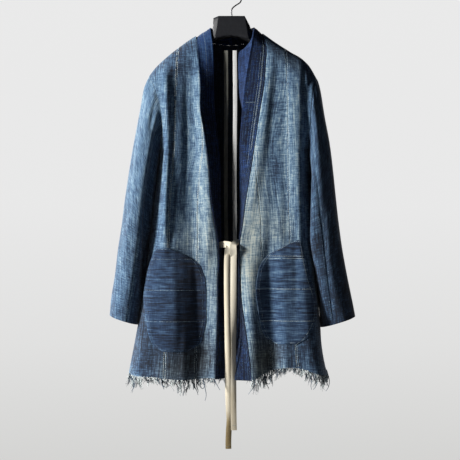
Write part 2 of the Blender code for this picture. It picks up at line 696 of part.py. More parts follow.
def build_fringe(name, edges, locks, seed, cloth):
    """Strip along the hem with locks of frayed threads drawn down from it."""
    rng = np.random.default_rng(seed)
    outer = np.concatenate([edge[0][-1] for edge in edges])
    inner = np.concatenate([edge[1][-1] for edge in edges])
    run = np.concatenate([[0.0], np.cumsum(np.linalg.norm(np.diff(outer, axis=0), axis=1))])
    at = np.linspace(0.0, run[-1], locks + 1)
    down = np.array([0.0, 0.0, -1.0])
    first = np.stack([np.interp(at, run, outer[:, c]) for c in range(3)], axis=1)
    second = np.stack([np.interp(at, run, inner[:, c]) for c in range(3)], axis=1)
    n = (first - second) / np.linalg.norm(first - second, axis=1, keepdims=True)
    verts = []
    for k in range(locks + 1):
        a = first[k] + FRINGE_GAP * down
        b = second[k] + FRINGE_GAP * down
        verts += [a, b, b + FRINGE_STRIP * down, a + FRINGE_STRIP * down]
    faces = [(0, 1, 2), (0, 2, 3)]
    e = 4 * locks
    faces += [(e, e + 2, e + 1), (e, e + 3, e + 2)]
    sway = rng.uniform(-1, 1, 8)
    for k in range(locks):
        a = 4 * k
        b = a + 4
        faces += [(a, b, b + 1), (a, b + 1, a + 1)]
        faces += [(a, a + 3, b + 3), (a, b + 3, b)]
        faces += [(a + 1, b + 1, b + 2), (a + 1, b + 2, a + 2)]
        base = [a + 3, b + 3, b + 2, a + 2]
        centre = np.mean([verts[i] for i in base], axis=0)
        along = (verts[b] - verts[a]) * 0.5
        thick = (verts[a + 1] - verts[a]) * 0.5
        length = rng.uniform(17, 40) * (1.0 + 0.25 * math.sin(0.9 * k + seed))
        lean = 0.18 * math.sin(k * 0.37 + sway[0] * 3) + 0.08 * math.sin(k * 0.9 + sway[1] * 3)
        kick = 0.12 * math.sin(k * 0.53 + sway[2] * 3)
        direction = np.array([lean, 0.0, -1.0]) + kick * n[k]
        last = base
        for t, wide in ((0.3, 0.55), (1.0, 0.14)):
            c = centre + direction * length * t
            ring = []
            for u, v in ((-1, -1), (1, -1), (1, 1), (-1, 1)):
                verts.append(c + along * wide * u + thick * max(wide, 0.3) * v)
                ring.append(len(verts) - 1)
            for i in range(4):
                m = (i + 1) % 4
                faces += [(last[i], ring[m], last[m]), (last[i], ring[i], ring[m])]
            last = ring
        faces += [(last[0], last[2], last[1]), (last[0], last[3], last[2])]
    if signed_volume(verts, faces) < 0:
        faces = [f[::-1] for f in faces]
    return object_from(name, verts, faces, cloth)


def build_hanger(name, black):
    rings = []
    for x, top, low, half in HANGER:
        middle = 0.5 * (top + low)
        tall = 0.5 * (top - low)
        square = 0.35 if half > 16 else 1.0
        ring = []
        for k in range(12):
            a = 2 * math.pi * (k + 0.5) / 12
            c = math.copysign(abs(math.cos(a)) ** square, math.cos(a))
            s = math.copysign(abs(math.sin(a)) ** square, math.sin(a))
            ring.append((x, half * s, middle + tall * c))
        rings.append(ring)
    return loft_object(name, rings, black)


def build_hook(name, steel):
    cx, cz = HOOK_CENTRE
    line = [(0, -74.7), (-0.6, -66), (-0.8, -58), (1.5, -52.5), (8, -46.5)]
    for degrees in np.linspace(-38, 186, 20):
        a = math.radians(degrees)
        line.append((cx + HOOK_RADIUS * math.cos(a), cz + HOOK_RADIUS * math.sin(a)))
    line = np.array(line)
    tangent = np.gradient(line, axis=0)
    tangent[0] = (0.0, 1.0)
    tangent /= np.linalg.norm(tangent, axis=1, keepdims=True)
    rings = []
    for (x, z), (tx, tz) in zip(line, tangent):
        ring = []
        for k in range(8):
            a = 2 * math.pi * k / 8
            across = HOOK_WIRE * math.cos(a)
            ring.append((x - tz * across, HOOK_WIRE * math.sin(a), z + tx * across))
        rings.append(ring)
    return loft_object(name, rings, steel)


def main():
    for obj in list(bpy.data.objects):
        bpy.data.objects.remove(obj, do_unlink=True)
    faded = material("faded_indigo", (0.16, 0.24, 0.34), 0.95)
    dark = material("dark_indigo", (0.03, 0.06, 0.14), 0.95)
    pale = material("pale_cotton", (0.72, 0.69, 0.62), 0.9)
    black = material("matte_black", (0.015, 0.015, 0.017), 0.55)
    steel = material("dark_steel", (0.03, 0.03, 0.033), 0.4, 0.9)

    build_hanger("hanger_body", black)
    build_hook("hanger_hook", steel)

    # Columns of the back's centre strips, with one at the end of the neckline
    neck_share = {
        LEFT: (0.0, 0.2, 0.38, 0.52, 0.61, 0.667, 0.83, 1.0),
        RIGHT: (0.0, 0.18, 0.33, 0.45, 0.54, 0.585, 0.79, 1.0),
    }
    for side, word in ((LEFT, "left"), (RIGHT, "right")):
        def collar(z, side=side):
            return collar_seam(side, z)

        def inner(z, side=side):
            return centre_seam(side, z)

        def panel(z, side=side):
            return panel_seam(side, z)

        def edge(z, side=side):
            return outer_edge(side, FRONT, z)[0]

        def centre(z):
            return np.full(np.shape(z), CENTRE_BACK_X)

        seam_to_seam = np.linspace(0.0, 1.0, 6)
        rounded = (0.0, 0.25, 0.5, 0.68, 0.82, 0.92, 0.975, 1.0)
        grids = [
            build_strip(f"front_{word}_centre", side, FRONT, collar, inner,
                        np.linspace(0.0, 1.0, 4), faded, short=True),
            build_strip(f"front_{word}_middle", side, FRONT, inner, panel, seam_to_seam, faded),
            build_strip(f"front_{word}_side", side, FRONT, panel, edge, rounded, faded,
                        outermost=True),
        ]
        backs = [
            build_strip(f"back_{word}_centre", side, BACK, centre, panel, neck_share[side], faded),
            build_strip(f"back_{word}_side", side, BACK, panel, edge, rounded, faded,
                        outermost=True),
        ]
        build_pocket(f"pocket_{word}", side, POCKET_LEFT if side == LEFT else POCKET_RIGHT,
                     [g[0] for g in grids], dark)
        build_binding(f"binding_{word}", side, *BINDINGS[side], [g[0] for g in backs], pale)
        build_fringe(f"fringe_front_{word}", grids, 27, 3 + side, faded)
        build_fringe(f"fringe_back_{word}", backs, 24, 7 + side, faded)
        build_sleeve(side, (f"sleeve_{word}_upper", f"sleeve_{word}_under"), faded,
                     (0, 0.6, 1, 1.5, 2, 3, 4, 5, 6, 7, 8, 9))

    build_band(("collar_left", "collar_right"), dark)
    build_knot("tie_knot", pale)
    build_tape("tie_tape_left", TAPE_LEFT, pale)
    build_tape("tie_tape_right", TAPE_RIGHT, pale)


main()
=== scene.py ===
"""Dresses the haori: cloth, stitching, fringe, tape tie, hanger, light and camera.

The frame has its origin at the inside top of the hook, +Z up, the open
front towards -Y, and left and right as seen from the front. The tables
are in millimetres and read from the top down.
"""

import json
import math

import bpy
import numpy as np
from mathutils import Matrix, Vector

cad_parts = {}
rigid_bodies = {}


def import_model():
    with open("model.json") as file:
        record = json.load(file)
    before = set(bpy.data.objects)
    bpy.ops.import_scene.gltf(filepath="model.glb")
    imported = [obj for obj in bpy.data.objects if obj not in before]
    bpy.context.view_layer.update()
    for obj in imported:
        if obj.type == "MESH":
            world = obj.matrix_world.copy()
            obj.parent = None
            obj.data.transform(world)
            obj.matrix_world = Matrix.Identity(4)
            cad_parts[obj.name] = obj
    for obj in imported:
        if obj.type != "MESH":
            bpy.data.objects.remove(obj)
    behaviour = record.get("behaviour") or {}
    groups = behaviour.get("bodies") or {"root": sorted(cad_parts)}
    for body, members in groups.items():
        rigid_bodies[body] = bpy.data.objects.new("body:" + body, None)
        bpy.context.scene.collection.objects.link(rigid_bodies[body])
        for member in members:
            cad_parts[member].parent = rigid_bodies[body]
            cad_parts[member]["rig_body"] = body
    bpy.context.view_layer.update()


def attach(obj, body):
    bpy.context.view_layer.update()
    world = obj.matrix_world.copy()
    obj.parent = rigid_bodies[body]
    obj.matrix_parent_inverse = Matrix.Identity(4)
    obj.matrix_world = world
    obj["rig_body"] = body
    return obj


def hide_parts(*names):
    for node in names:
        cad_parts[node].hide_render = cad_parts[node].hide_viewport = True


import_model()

MM = 0.001
LEFT = FRONT = -1
RIGHT = BACK = 1
WORDS = {LEFT: "left", RIGHT: "right"}
FACES = {FRONT: "front", BACK: "back"}
# Column of a table for the left or the front, and for the right or the back
COLUMN = {LEFT: 1, RIGHT: 2}

WALL = 1.6
ARMHOLE_ROWS = 84
SKIRT_ROWS = 130
SLEEVE_ROWS = 150
COLUMNS_ROUND_SLEEVE = 100

SIDE_ROUNDING = 42
SHOULDER_ROUNDING = (26, 0.24)
UNDERARM_Z = -421
CENTRE_BACK_X = -3
SEAM_GROOVE = 1.1
# First columns of a strip, close together at its seam
EDGE_COLUMNS = (0, 1, 2.2, 4)

# Shoulder line over the hanger: x, z
RIDGE = (
    (-230, -252), (-215, -229), (-203, -213), (-177, -187), (-135, -153), (-94, -125), (-70, -113),
    (-50, -102), (0, -94), (52, -102), (78, -117), (112, -141), (151, -166), (185, -187),
    (203, -206), (217, -230), (230, -254),
)
# Back neckline: x, z
NECKLINE = (
    (-94, -125), (-80, -131), (-60, -138), (-30, -143), (0, -145), (30, -142), (55, -135),
    (68, -127), (80, -118.3),
)
# Side seam under the arm: z, left x, right x
SIDE_SEAM = (
    (-421, -187, 205), (-480, -193, 205), (-551, -202, 206), (-668, -215, 212), (-733, -223, 217),
    (-785, -230, 221), (-824, -236, 225), (-868, -243, 229), (-928, -254, 233), (-980, -264, 242),
    (-1020, -271, 253),
)
# How far the front and the back stand off the side seams: z, front, back
DEPTH = (
    (-90, 24, 24), (-150, 33, 31), (-220, 41, 38), (-300, 48, 43), (-421, 54, 47), (-550, 60, 50),
    (-668, 65, 53), (-800, 72, 58), (-900, 79, 63), (-1020, 90, 70),
)
# Seam of the collar band on the fronts: z, x
COLLAR_SEAM = {
    LEFT: (
        (-125, -94), (-150, -90), (-198, -86), (-256, -82), (-322, -82), (-363, -75), (-402, -69),
        (-480, -59), (-539, -55), (-595, -48), (-646, -39), (-703, -35), (-761, -38), (-819, -38),
        (-914, -41), (-1020, -43),
    ),
    RIGHT: (
        (-118.3, 80), (-157, 89), (-200, 87), (-246, 84), (-325, 71.5), (-384, 62.5), (-461, 51),
        (-540, 38), (-616, 28), (-662, 20.5), (-705, 20.5), (-756, 22.6), (-807, 25), (-883, 35.6),
        (-959, 45.6), (-1020, 51),
    ),
}
# Width of the centre strips, which start narrow at the chest: z, left, right
CENTRE_STRIP = (
    (-421, 8, 3), (-480, 23, 14), (-540, 31, 30), (-600, 41, 43), (-680, 52, 57), (-800, 52, 62),
    (-920, 51, 58), (-1020, 51, 52),
)
# Where the centre strips of the fronts start: z
STRIP_TOP = {LEFT: -345, RIGHT: -395}
# Where the sewn rows of the other seams start: z
STITCHES_TOP = -110
# Seam between the side and the middle strips: z, left x, right x
PANEL_SEAM = (
    (-150, -139, 139), (-317, -146, 143), (-421, -149, 144), (-551, -159, 145), (-655, -162, 148),
    (-800, -166, 156), (-946, -169, 164), (-1020, -172, 169),
)
# Hem: x, front z, back z
HEM = (
    (-275, -996, -996), (-250, -1000, -995), (-213, -1001, -992), (-110, -1009, -996),
    (-46, -1005, -999), (0, -1008, -1000), (51, -1009, -998), (88, -991, -992), (112, -983, -988),
    (175, -981, -988), (222, -997, -996), (255, -1006, -1006),
)
# Folds, then creases: top x, top z, bottom x, bottom z, out, half width
FOLDS = {
    (LEFT, FRONT): (
        (-168, -190, -171, -720, 17, 14), (-112, -170, -104, -720, -13, 28),
        (-76, -150, -48, -720, 8, 20), (-158, -650, -166, -1120, 13, 36),
        (-80, -690, -72, -1120, -17, 30), (-171, -196, -175, -640, 3, 9),
        (-128, -215, -132, -520, 1.6, 8), (-117, -230, -119, -620, -1.6, 6),
        (-92, -205, -74, -560, 2.2, 10), (-188, -190, -183, -262, -3, 4),
        (-178, -210, -186, -290, 2.2, 5), (-199, -215, -187, -262, -2.4, 4),
        (-60, -520, -66, -800, 2, 10), (-100, -600, -92, -900, -1.8, 8),
        (-150, -640, -142, -940, 1.6, 9), (-205, -760, -216, -1060, 2.2, 9),
        (-120, -880, -126, -1080, 2.4, 10), (-92, -860, -88, -1080, -3.4, 9),
        (-48, -900, -46, -1080, 2.6, 7),
    ),
    (RIGHT, FRONT): (
        (106, -160, 58, -560, 6, 13), (170, -200, 172, -700, 11, 22),
        (193, -232, 198, -690, -14, 13), (44, -690, 54, -1180, 12, 18),
        (98, -650, 106, -1180, -17, 25), (204, -660, 234, -1100, 8, 14),
        (152, -190, 150, -560, 2.4, 12), (186, -196, 184, -330, -3, 6),
        (196, -205, 190, -262, 3.4, 5), (205, -215, 196, -300, -2.6, 5),
        (78, -260, 44, -640, 2, 9), (128, -420, 122, -760, 1.8, 10), (96, -560, 92, -860, -1.6, 8),
        (160, -560, 164, -860, -2.2, 9), (60, -860, 74, -1080, 3, 9), (90, -880, 98, -1080, -3, 8),
        (132, -900, 140, -1080, 2, 10),
    ),
    (LEFT, BACK): (
        (-96, -240, -118, -760, -9, 28), (-60, -700, -70, -1080, 8, 26),
        (-190, -800, -205, -1080, -8, 24), (-150, -200, -146, -520, -2.6, 10),
        (-182, -205, -178, -330, 2.4, 7), (-46, -200, -52, -560, 1.8, 12),
        (-130, -560, -142, -960, 2.4, 12), (-30, -760, -34, -1080, -2.2, 10),
    ),
    (RIGHT, BACK): (
        (120, -220, 112, -720, -9, 26), (48, -760, 60, -1080, -9, 24),
        (150, -760, 160, -1080, 8, 26), (160, -205, 152, -480, 2.4, 10),
        (190, -210, 184, -360, -2.6, 7), (66, -230, 60, -640, -1.8, 12),
        (88, -640, 100, -1000, 2.6, 12), (186, -740, 200, -1080, -2.4, 11),
    ),
}
# Sleeves: outer x, outer z, inner z, front depth, back depth, inward curve
SLEEVE = {
    LEFT: (
        (-215, -229, -421, 49, 45, 18), (-228, -262, -446, 56, 51, 12),
        (-239, -317, -482, 63, 56, 6), (-257, -421, -545, 70, 58, 1),
        (-277, -551, -622, 74, 55, 0), (-286, -616, -670, 74, 52, 0),
        (-296, -681, -722, 71, 48, 0), (-304, -746, -776, 67, 43, 0),
        (-312, -798, -824, 62, 40, 0), (-317, -850, -874, 58, 38, 0),
    ),
    RIGHT: (
        (217, -230, -421, 49, 45, 8), (229, -265, -446, 56, 51, 5), (241, -330, -482, 63, 56, 2),
        (255, -414, -540, 70, 58, 0), (270, -551, -620, 74, 55, 0), (278, -615, -668, 74, 52, 0),
        (287, -680, -722, 71, 48, 0), (298, -740, -776, 67, 43, 0), (309, -797, -830, 62, 40, 0),
        (320, -853, -881, 58, 38, 0),
    ),
}
# Folds of the sleeves: angle and station at the start and at the end, out, half width in degrees
SLEEVE_FOLDS = {
    LEFT: (
        (60, 0, 150, 7.2, 1.5, 20), (108, 3.5, 114, 8.8, 2, 20), (108, 0.2, 166, 7.4, -11, 20),
        (66, 0.1, 80, 1.8, -3, 6), (84, 0.1, 92, 1.5, 3, 6), (112, 0.1, 106, 1.7, -3.5, 6),
        (30, 0.4, 34, 3.4, -2, 12), (84, 2.2, 40, 5.4, -1.8, 10), (64, 4.6, 80, 7, 1.8, 10),
        (20, 5, 52, 8.8, 1.6, 12), (250, 0.4, 262, 6, 3, 20), (300, 0.2, 288, 7, -2.6, 16),
        (226, 3, 238, 8.8, -2.4, 14), (176, 5, 180, 10.5, 2.2, 26),
    ),
    RIGHT: (
        (76, 0.2, 158, 7, 10, 20), (129, 2.6, 128, 8.8, 16, 17), (74, 3, 72, 8.8, -3.6, 20),
        (150, 0.1, 140, 1.6, 3, 5), (134, 0.1, 126, 1.4, -3, 5), (252, 0.4, 262, 6, 3, 20),
        (300, 0.2, 290, 7, -2.6, 16), (226, 3, 236, 8.8, -2.4, 14),
    ),
}
# Washed and stained places: x, z, half width, half height, pale, olive
FADES = {
    (LEFT, FRONT): (
        (-170, -190, 60, 60, -0.08, 0), (-112, -165, 40, 60, -0.14, 0),
        (-80, -420, 34, 230, 0.16, 0.1), (-60, -640, 34, 160, 0.14, 0.25),
        (-120, -660, 40, 60, 0.1, 0.3), (-48, -800, 22, 150, 0.07, 0.3),
        (-178, -420, 30, 200, 0.06, 0), (-200, -900, 70, 140, -0.27, 0.12),
        (-90, -960, 50, 70, -0.16, 0.75), (-160, -985, 40, 40, 0, 0.45),
        (-142, -330, 14, 150, -0.1, 0),
    ),
    (RIGHT, FRONT): (
        (80, -300, 26, 160, 0.14, 0.02), (60, -560, 40, 150, 0.2, 0.28),
        (42, -720, 30, 130, 0.36, 0.45), (120, -630, 40, 60, 0.16, 0.35),
        (150, -420, 34, 200, 0.12, 0.12), (150, -170, 70, 50, -0.1, 0),
        (110, -480, 26, 140, -0.1, 0), (165, -400, 22, 180, 0.1, 0), (84, -960, 40, 70, 0, 0.95),
        (160, -930, 70, 80, -0.19, 0.1),
    ),
    (LEFT, BACK): (
        (-60, -360, 60, 200, 0.12, 0.1), (-130, -760, 60, 200, -0.08, 0.1),
        (-60, -960, 90, 60, 0, 0.5),
    ),
    (RIGHT, BACK): (
        (70, -420, 60, 240, 0.1, 0.1), (120, -820, 70, 180, -0.06, 0.15),
        (90, -970, 90, 60, 0.02, 0.5),
    ),
}
FADE_BASE = 0.40
# Inner faces: their pale amount, and their painted shade, which mixes them towards near-black, most
# inside the back
INSIDE_TONE = 0.14
INSIDE_PAINTED_SHADE = {FRONT: 0.2, BACK: 0.75}

# Collar band on the fronts: z, fold x, fold y
BAND = {
    LEFT: (
        (-150, -49, -26), (-198, -47, -26), (-265, -47, -24), (-330, -44, -28), (-400, -36, -27),
        (-478, -30, -24), (-540, -30, -22), (-600, -29, -22), (-650, -29, -21), (-705, -27, -23),
        (-764, -24, -27), (-824, -21, -32), (-920, -19, -42), (-1020, -18, -55),
    ),
    RIGHT: (
        (-150, 51, -40), (-213, 40, -40), (-270, 32, -38), (-330, 26, -40), (-400, 21, -40),
        (-461, 21, -26), (-540, 20, -20), (-616, 19, -20), (-662, 17, -21), (-705, 17, -23),
        (-756, 15, -26), (-807, 13, -30), (-883, 11, -42), (-959, 9, -62), (-1020, 8, -84),
    ),
}
BAND_TOP = -150
# Heights of the rows of the band up the left front and down the right front
BAND_UP = (-1008, -132, 190)
BAND_DOWN = ((-120, -158, 14), (-162, -1010, 190))
BAND_NECK_ROWS = 56
# Collar band round the neck: seam x, fold x, fold y, fold z
BAND_NECK = (
    (-94, -56, 0, -104), (-80, -50, 22, -103), (-60, -38, 36, -102), (-30, -20, 43, -101),
    (0, 0, 45, -101), (30, 20, 43, -101), (55, 38, 36, -101), (68, 50, 22, -102),
    (80, 57, 0, -103),
)
# Inner half of the right band where it lies open: z, share, free edge x, y, z
BAND_OPEN = (
    (-118, 0, 72, -8, -130), (-124, 1, 66, -13, -136), (-131, 1, 53, -23, -147),
    (-138, 1, 37, -28, -157), (-156, 1, 17, -27, -170), (-213, 1, 16, -18, -216),
    (-280, 1, 19, -9, -283), (-330, 0.8, 22, -9, -333), (-400, 0, 22, -12, -403),
    (-1030, 0, 22, -60, -1033),
)
# Middle of the neck opening, towards which the free edge of the band turns
NECK_MIDDLE = (0, 0, -160)
# Where one more row of stitches runs across the right band
BAND_CROSS_Z = -301
BAND_HALF = 33
BAND_TURN = 9
BAND_FOLD = 4.6
BAND_STITCHES = (0.08, 0.19, 0.235, 0.36, 0.53, 0.70, 0.87)
# Shares across the two halves of the band
OUTER_HALF = np.array([0, 0.03, 0.08, 0.17, 0.26, 0.35, 0.44, 0.53, 0.62, 0.71, 0.80, 0.88, 0.95])
INNER_HALF = np.array([0.06, 0.18, 0.32, 0.46, 0.60, 0.74, 0.88, 1])

# Patch pockets: z, left x, right x
POCKETS = {
    LEFT: (
        (-675, -190, -158), (-693, -198, -120), (-710, -204, -92), (-738, -212, -74),
        (-781, -221, -67), (-820, -223, -66.5), (-863, -216, -66.5), (-896, -211, -74),
        (-921, -198, -84), (-937, -175, -112),
    ),
    RIGHT: (
        (-655, 165, 173), (-670, 134, 177), (-690, 96, 182), (-718, 73, 188), (-756, 63, 197),
        (-794, 60.5, 209), (-820, 64, 215), (-863, 70, 212), (-891, 79, 198), (-909, 94, 183),
        (-919, 114, 165),
    ),
}
# Level rows sewn across the pockets: z
POCKET_ROWS = {LEFT: (-707, -786, -865), RIGHT: (-692, -698, -776, -857)}
HAND_OPENING_Z = -745
# Pale bindings inside the centre back: middle x, width
BINDINGS = {LEFT: (-15.5, 10.4), RIGHT: (7.5, 10.4)}
BINDING_ENDS = (-158, -985)

# Tape ties: x, y, z, turn of the face in degrees
TAPES = {
    LEFT: (
        (-9, -63.5, -676.9, 0), (-12, -68, -700, 4), (-12.5, -70, -760, 0), (-12, -71, -850, -8),
        (-11, -72, -950, -12), (-10, -73, -1040, -10), (-8, -73, -1085, 2), (-6.5, -73, -1112, 14),
        (-8, -73, -1140, 14), (-9, -72, -1163, 12), (-9, -72, -1186, 12),
    ),
    RIGHT: (
        (5, -67, -676.9, -5), (4, -73, -700, -8), (3.6, -74, -760, -6), (3.6, -75, -820, 4),
        (4, -76, -870, 20), (4.5, -77, -910, 38), (4.5, -78, -980, 32), (4, -78, -1030, 16),
        (4, -77, -1090, 8), (5, -76, -1138, 6),
    ),
}
# How the tapes bow and are tinted, and the painted shade that darkens their lower ends: bow, tone,
# height, share
TAPE_LOOKS = {
    LEFT: ((1.5, 4.2, 4.2, 3.8, 2.6, 1.4, 0.5), 0.74, -1088, 0.58),
    RIGHT: ((0.6, 1.6, 1.2, 0.8, 1.4, 1, 0.4), 0.84, -1010, 0.20),
}
KNOT_Z = -677
TAPE_WIDTH = 15
TAPE_THICKNESS = 1.2
# Strands of the knot: x, y, z, half width, turn of the face about the strand in degrees
KNOT_STRANDS = {
    "left": (
        (-32, -51, -667, 7.4, 0), (-26, -56, -666.5, 8, 0), (-18, -61, -665.5, 8.2, -4),
        (-10, -67, -666, 8.2, -8), (-4, -70.5, -668, 8, -4), (3, -70.5, -670, 7.4, 6),
    ),
    "end": (
        (18.5, -49.5, -662, 3.6, 0), (15, -56, -663, 4.2, -8), (10, -61, -665, 4.6, -10),
        (4, -66, -668, 5, 0),
    ),
    "wrap": (
        (19, -50.5, -656.5, 3.8, 0), (14, -60, -657.5, 4.6, -6), (8.5, -68, -660.5, 6.2, -10),
        (4, -74.5, -666, 7.6, -8), (3, -76.5, -674, 8.2, -4), (3.4, -75, -684, 8.2, 0),
        (3.8, -71.8, -697, 7.8, 0),
    ),
    "tuck": (
        (-10, -63, -668, 5.4, 0), (-10.5, -69, -673, 5, 4), (-11.5, -69.5, -680, 6.2, 8),
        (-12, -66.4, -694, 7.4, 6),
    ),
}

# Hanger outline: x, top z, bottom z, half depth
HANGER = (
    (-203, -219, -232, 5), (-196, -210, -234, 8), (-177, -190.2, -219, 9), (-156, -172.8, -203, 9),
    (-135, -156.2, -188, 9), (-114, -140.8, -174, 9), (-101, -136, -166, 9), (-92, -136, -160, 9),
    (-70, -124, -151, 9), (-57, -116, -145, 10), (-50, -108, -141, 12), (-48, -80, -139, 18),
    (-34, -75, -134, 24), (-18, -75, -129, 24), (0, -75, -127, 24), (18, -75, -129, 24),
    (33, -75, -135, 24), (46, -99, -139, 19), (51, -111, -141, 12), (58, -119, -145, 10),
    (70, -128, -152, 9), (82, -134, -159, 9), (92, -136, -165, 9), (112, -145, -175, 9),
    (131, -158, -187, 9), (151, -170, -198, 9), (185, -191.5, -216, 9), (197, -205, -224, 7),
    (204, -213, -228, 5),
)
BLOCK_HALF = 34
# Foot and neck of the hook, below its round top: x, z
HOOK_FOOT = ((0, -74.7), (-0.3, -70), (-0.6, -66), (-0.8, -58), (1.5, -52.5), (8, -46.5))
HOOK_WIRE = 1.7
HOOK_CENTRE = (1, -23)
HOOK_RADIUS = 24.7
HOOK_TURN = (-38, 186)

# Long threads at the hem: side, tone, x and z down the thread
WISPS = (
    (RIGHT, 0.42, ((58.8, -1000), (57.3, -1016), (51.9, -1029), (47, -1036), (41.1, -1044))),
    (RIGHT, 0.3, ((241.9, -986), (248.8, -1013), (246.8, -1029), (240, -1041))),
    (RIGHT, 0.36, ((198.8, -988), (201.8, -1010), (199.8, -1023), (201.8, -1034))),
    (RIGHT, 0.3, ((207.6, -988), (214.5, -1012), (211.6, -1026), (205.7, -1034))),
    (RIGHT, 0.24, ((82.3, -996), (88.1, -1016), (96, -1018), (97.9, -1000))),
    (LEFT, 0.34, ((-75.4, -1004), (-67.6, -1035), (-65.6, -1049), (-68.6, -1064))),
    (LEFT, 0.44, ((-95, -1004), (-94, -1028), (-89.1, -1039), (-86.2, -1049))),
    (LEFT, 0.3, ((-47, -1000), (-40.2, -1018), (-36.2, -1025), (-30.4, -1035))),
    (LEFT, 0.24, ((-82.3, -1004), (-79.3, -1028), (-71.5, -1030), (-66.6, -1002))),
    (LEFT, 0.3, ((-174.3, -1000), (-177.3, -1018), (-166.5, -1026), (-156.7, -1021))),
    (LEFT, 0.4, ((-252.7, -978), (-258.6, -994), (-255.6, -1010))),
)
WISP_POINTS = 28
FRINGE_STEP = 1.7
FRINGE_POINTS = 12
FRINGE_REACH = (12, 34)
FRINGE_CURL = (1.6, 5.8)
# Share of near-black bundles: partly dark indigo threads, partly painted shade among the fringe
FRINGE_DARK_SHARE = 0.56
THREAD = 0.58

# Unevenness of the weave: scale across, scale along, amount, detail
STREAKS = (
    (420, 16, 0.52, 2), (900, 60, 0.34, 1), (52, 480, 0.4, 2), (30, 260, 0.16, 2),
    (260, 260, 0.22, 2), (24, 9, 0.18, 3), (60, 40, 0.26, 3),
)
POCKET_STREAKS = (
    (210, 20, 0.5, 2), (420, 16, 0.5, 2), (900, 60, 0.3, 1), (52, 480, 0.22, 2), (24, 9, 0.18, 3),
    (60, 40, 0.22, 3),
)
THREAD_STREAKS = ((300, 300, 0.5, 1),)
WEAVE_PITCH = 1.15
TWILL_PITCH = 2.1
# Colours from worn dark to washed pale
FADED = (
    (0, (0.0048, 0.0092, 0.02)), (0.25, (0.0165, 0.038, 0.081)), (0.5, (0.062, 0.123, 0.206)),
    (0.75, (0.172, 0.256, 0.318)), (1, (0.356, 0.396, 0.385)),
)
DARK = (
    (0, (0.002, 0.005, 0.016)), (0.25, (0.0085, 0.028, 0.099)), (0.5, (0.028, 0.072, 0.176)),
    (0.8, (0.085, 0.165, 0.29)), (1, (0.2, 0.28, 0.36)),
)
POCKET = (
    (0, (0.00198, 0.00528, 0.0145)), (0.25, (0.0118, 0.0312, 0.074)), (0.5, (0.05, 0.097, 0.166)),
    (0.8, (0.172, 0.238, 0.304)), (1, (0.33, 0.37, 0.383)),
)
# Cream tape colours; the painted shade at the lower tape ends reaches the brown end
COTTON = (
    (0, (0.2, 0.145, 0.062)), (0.35, (0.31, 0.245, 0.14)), (0.8, (0.5, 0.46, 0.37)),
    (1, (0.56, 0.53, 0.45)),
)
BINDING = (
    (0, (0.1, 0.1, 0.08)), (0.4, (0.24, 0.24, 0.21)), (1, (0.86, 0.86, 0.84)),
)
SEWING = (
    (0, (0.004, 0.008, 0.018)), (0.35, (0.06, 0.11, 0.18)), (0.65, (0.26, 0.34, 0.39)),
    (1, (0.56, 0.6, 0.58)),
)
THREADS = (
    (0, (0.004, 0.007, 0.014)), (0.35, (0.1, 0.14, 0.19)), (0.65, (0.34, 0.4, 0.41)),
    (1, (0.52, 0.57, 0.57)),
)
STAINED = (
    (0, (0.008, 0.009, 0.010)), (0.11, (0.088, 0.096, 0.080)),
    (0.37, (0.31, 0.325, 0.27)), (1, (0.72, 0.72, 0.64)),
)
# Near-black colour of the painted shade on the inner faces
PAINTED_SHADE_COLOUR = (0.004, 0.005, 0.009, 1)
BACKDROP = (
    (0, (0.66, 0.66, 0.65)), (0.25, (0.75, 0.75, 0.745)),
    (0.55, (0.81, 0.81, 0.81)), (1, (0.82, 0.82, 0.82)),
)
AMBIENT = (0.027, 0.030, 0.037, 1)
FLOOR = ((0.2, (0.40, 0.405, 0.41)), (0.8, (0.43, 0.435, 0.44)))
FLOOR_RADIUS = 1900
FLOOR_Z = -1650
# The view, in metres: distance, width seen at the coat, middle x and z
VIEW_DISTANCE = 3.4
VIEW_WIDTH = 1.196
VIEW_MIDDLE = (-0.005, -0.629)
SENSOR_WIDTH = 36


def curve(rows, at, column=1):
    """Smooth curve through the rows of a table, read at one or many places."""
    knots, values = np.array(sorted((row[0], row[column]) for row in rows), float).T
    step = np.diff(knots)
    slope = np.diff(values) / step
    between = (slope[:-1] * step[1:] + slope[1:] * step[:-1]) / (step[:-1] + step[1:])
    tangent = np.concatenate([slope[:1], between, slope[-1:]])
    at = np.clip(np.asarray(at, float), knots[0], knots[-1])
    i = np.clip(np.searchsorted(knots, at, side="right") - 1, 0, len(step) - 1)
    u = (at - knots[i]) / step[i]
    first = (1 + 2 * u) * (1 - u) ** 2 * values[i] + u * (1 - u) ** 2 * step[i] * tangent[i]
    second = u * u * (3 - 2 * u) * values[i + 1]
    return first + second + u * u * (u - 1) * step[i] * tangent[i + 1]


def curves(rows, at):
    """Every column of a table, at places counted from row to row."""
    stations = [(k, *row) for k, row in enumerate(rows)]
    return [curve(stations, at, c) for c in range(1, len(rows[0]) + 1)]


def quarter(u):
    """Rise of a quarter circle from 0 to 1."""
    u = np.clip(u, 0, 1)
    return np.sqrt(1 - (1 - u) ** 2)


def bump_at(distance, half):
    """Smooth hump that is 1 at distance 0 and 0 beyond 1.6 half widths."""
    across = np.clip(np.abs(distance) / (1.6 * half), 0, 1)
    return np.cos(0.5 * math.pi * across) ** 2


def near_to(distance, reach):
    """Share that falls off smoothly with distance."""
    return np.exp(-((distance / reach) ** 2))


def part_of(value, start, span):
    """Share of a span that a value has covered, from 0 to 1."""
    return np.clip((value - start) / span, 0, 1)


def unit(v):
    return v / np.maximum(np.linalg.norm(v, axis=-1, keepdims=True), 1e-9)


def xyz(x, y, z):
    """Points or directions from their three parts."""
    return np.stack(np.broadcast_arrays(x, y, z), axis=-1)


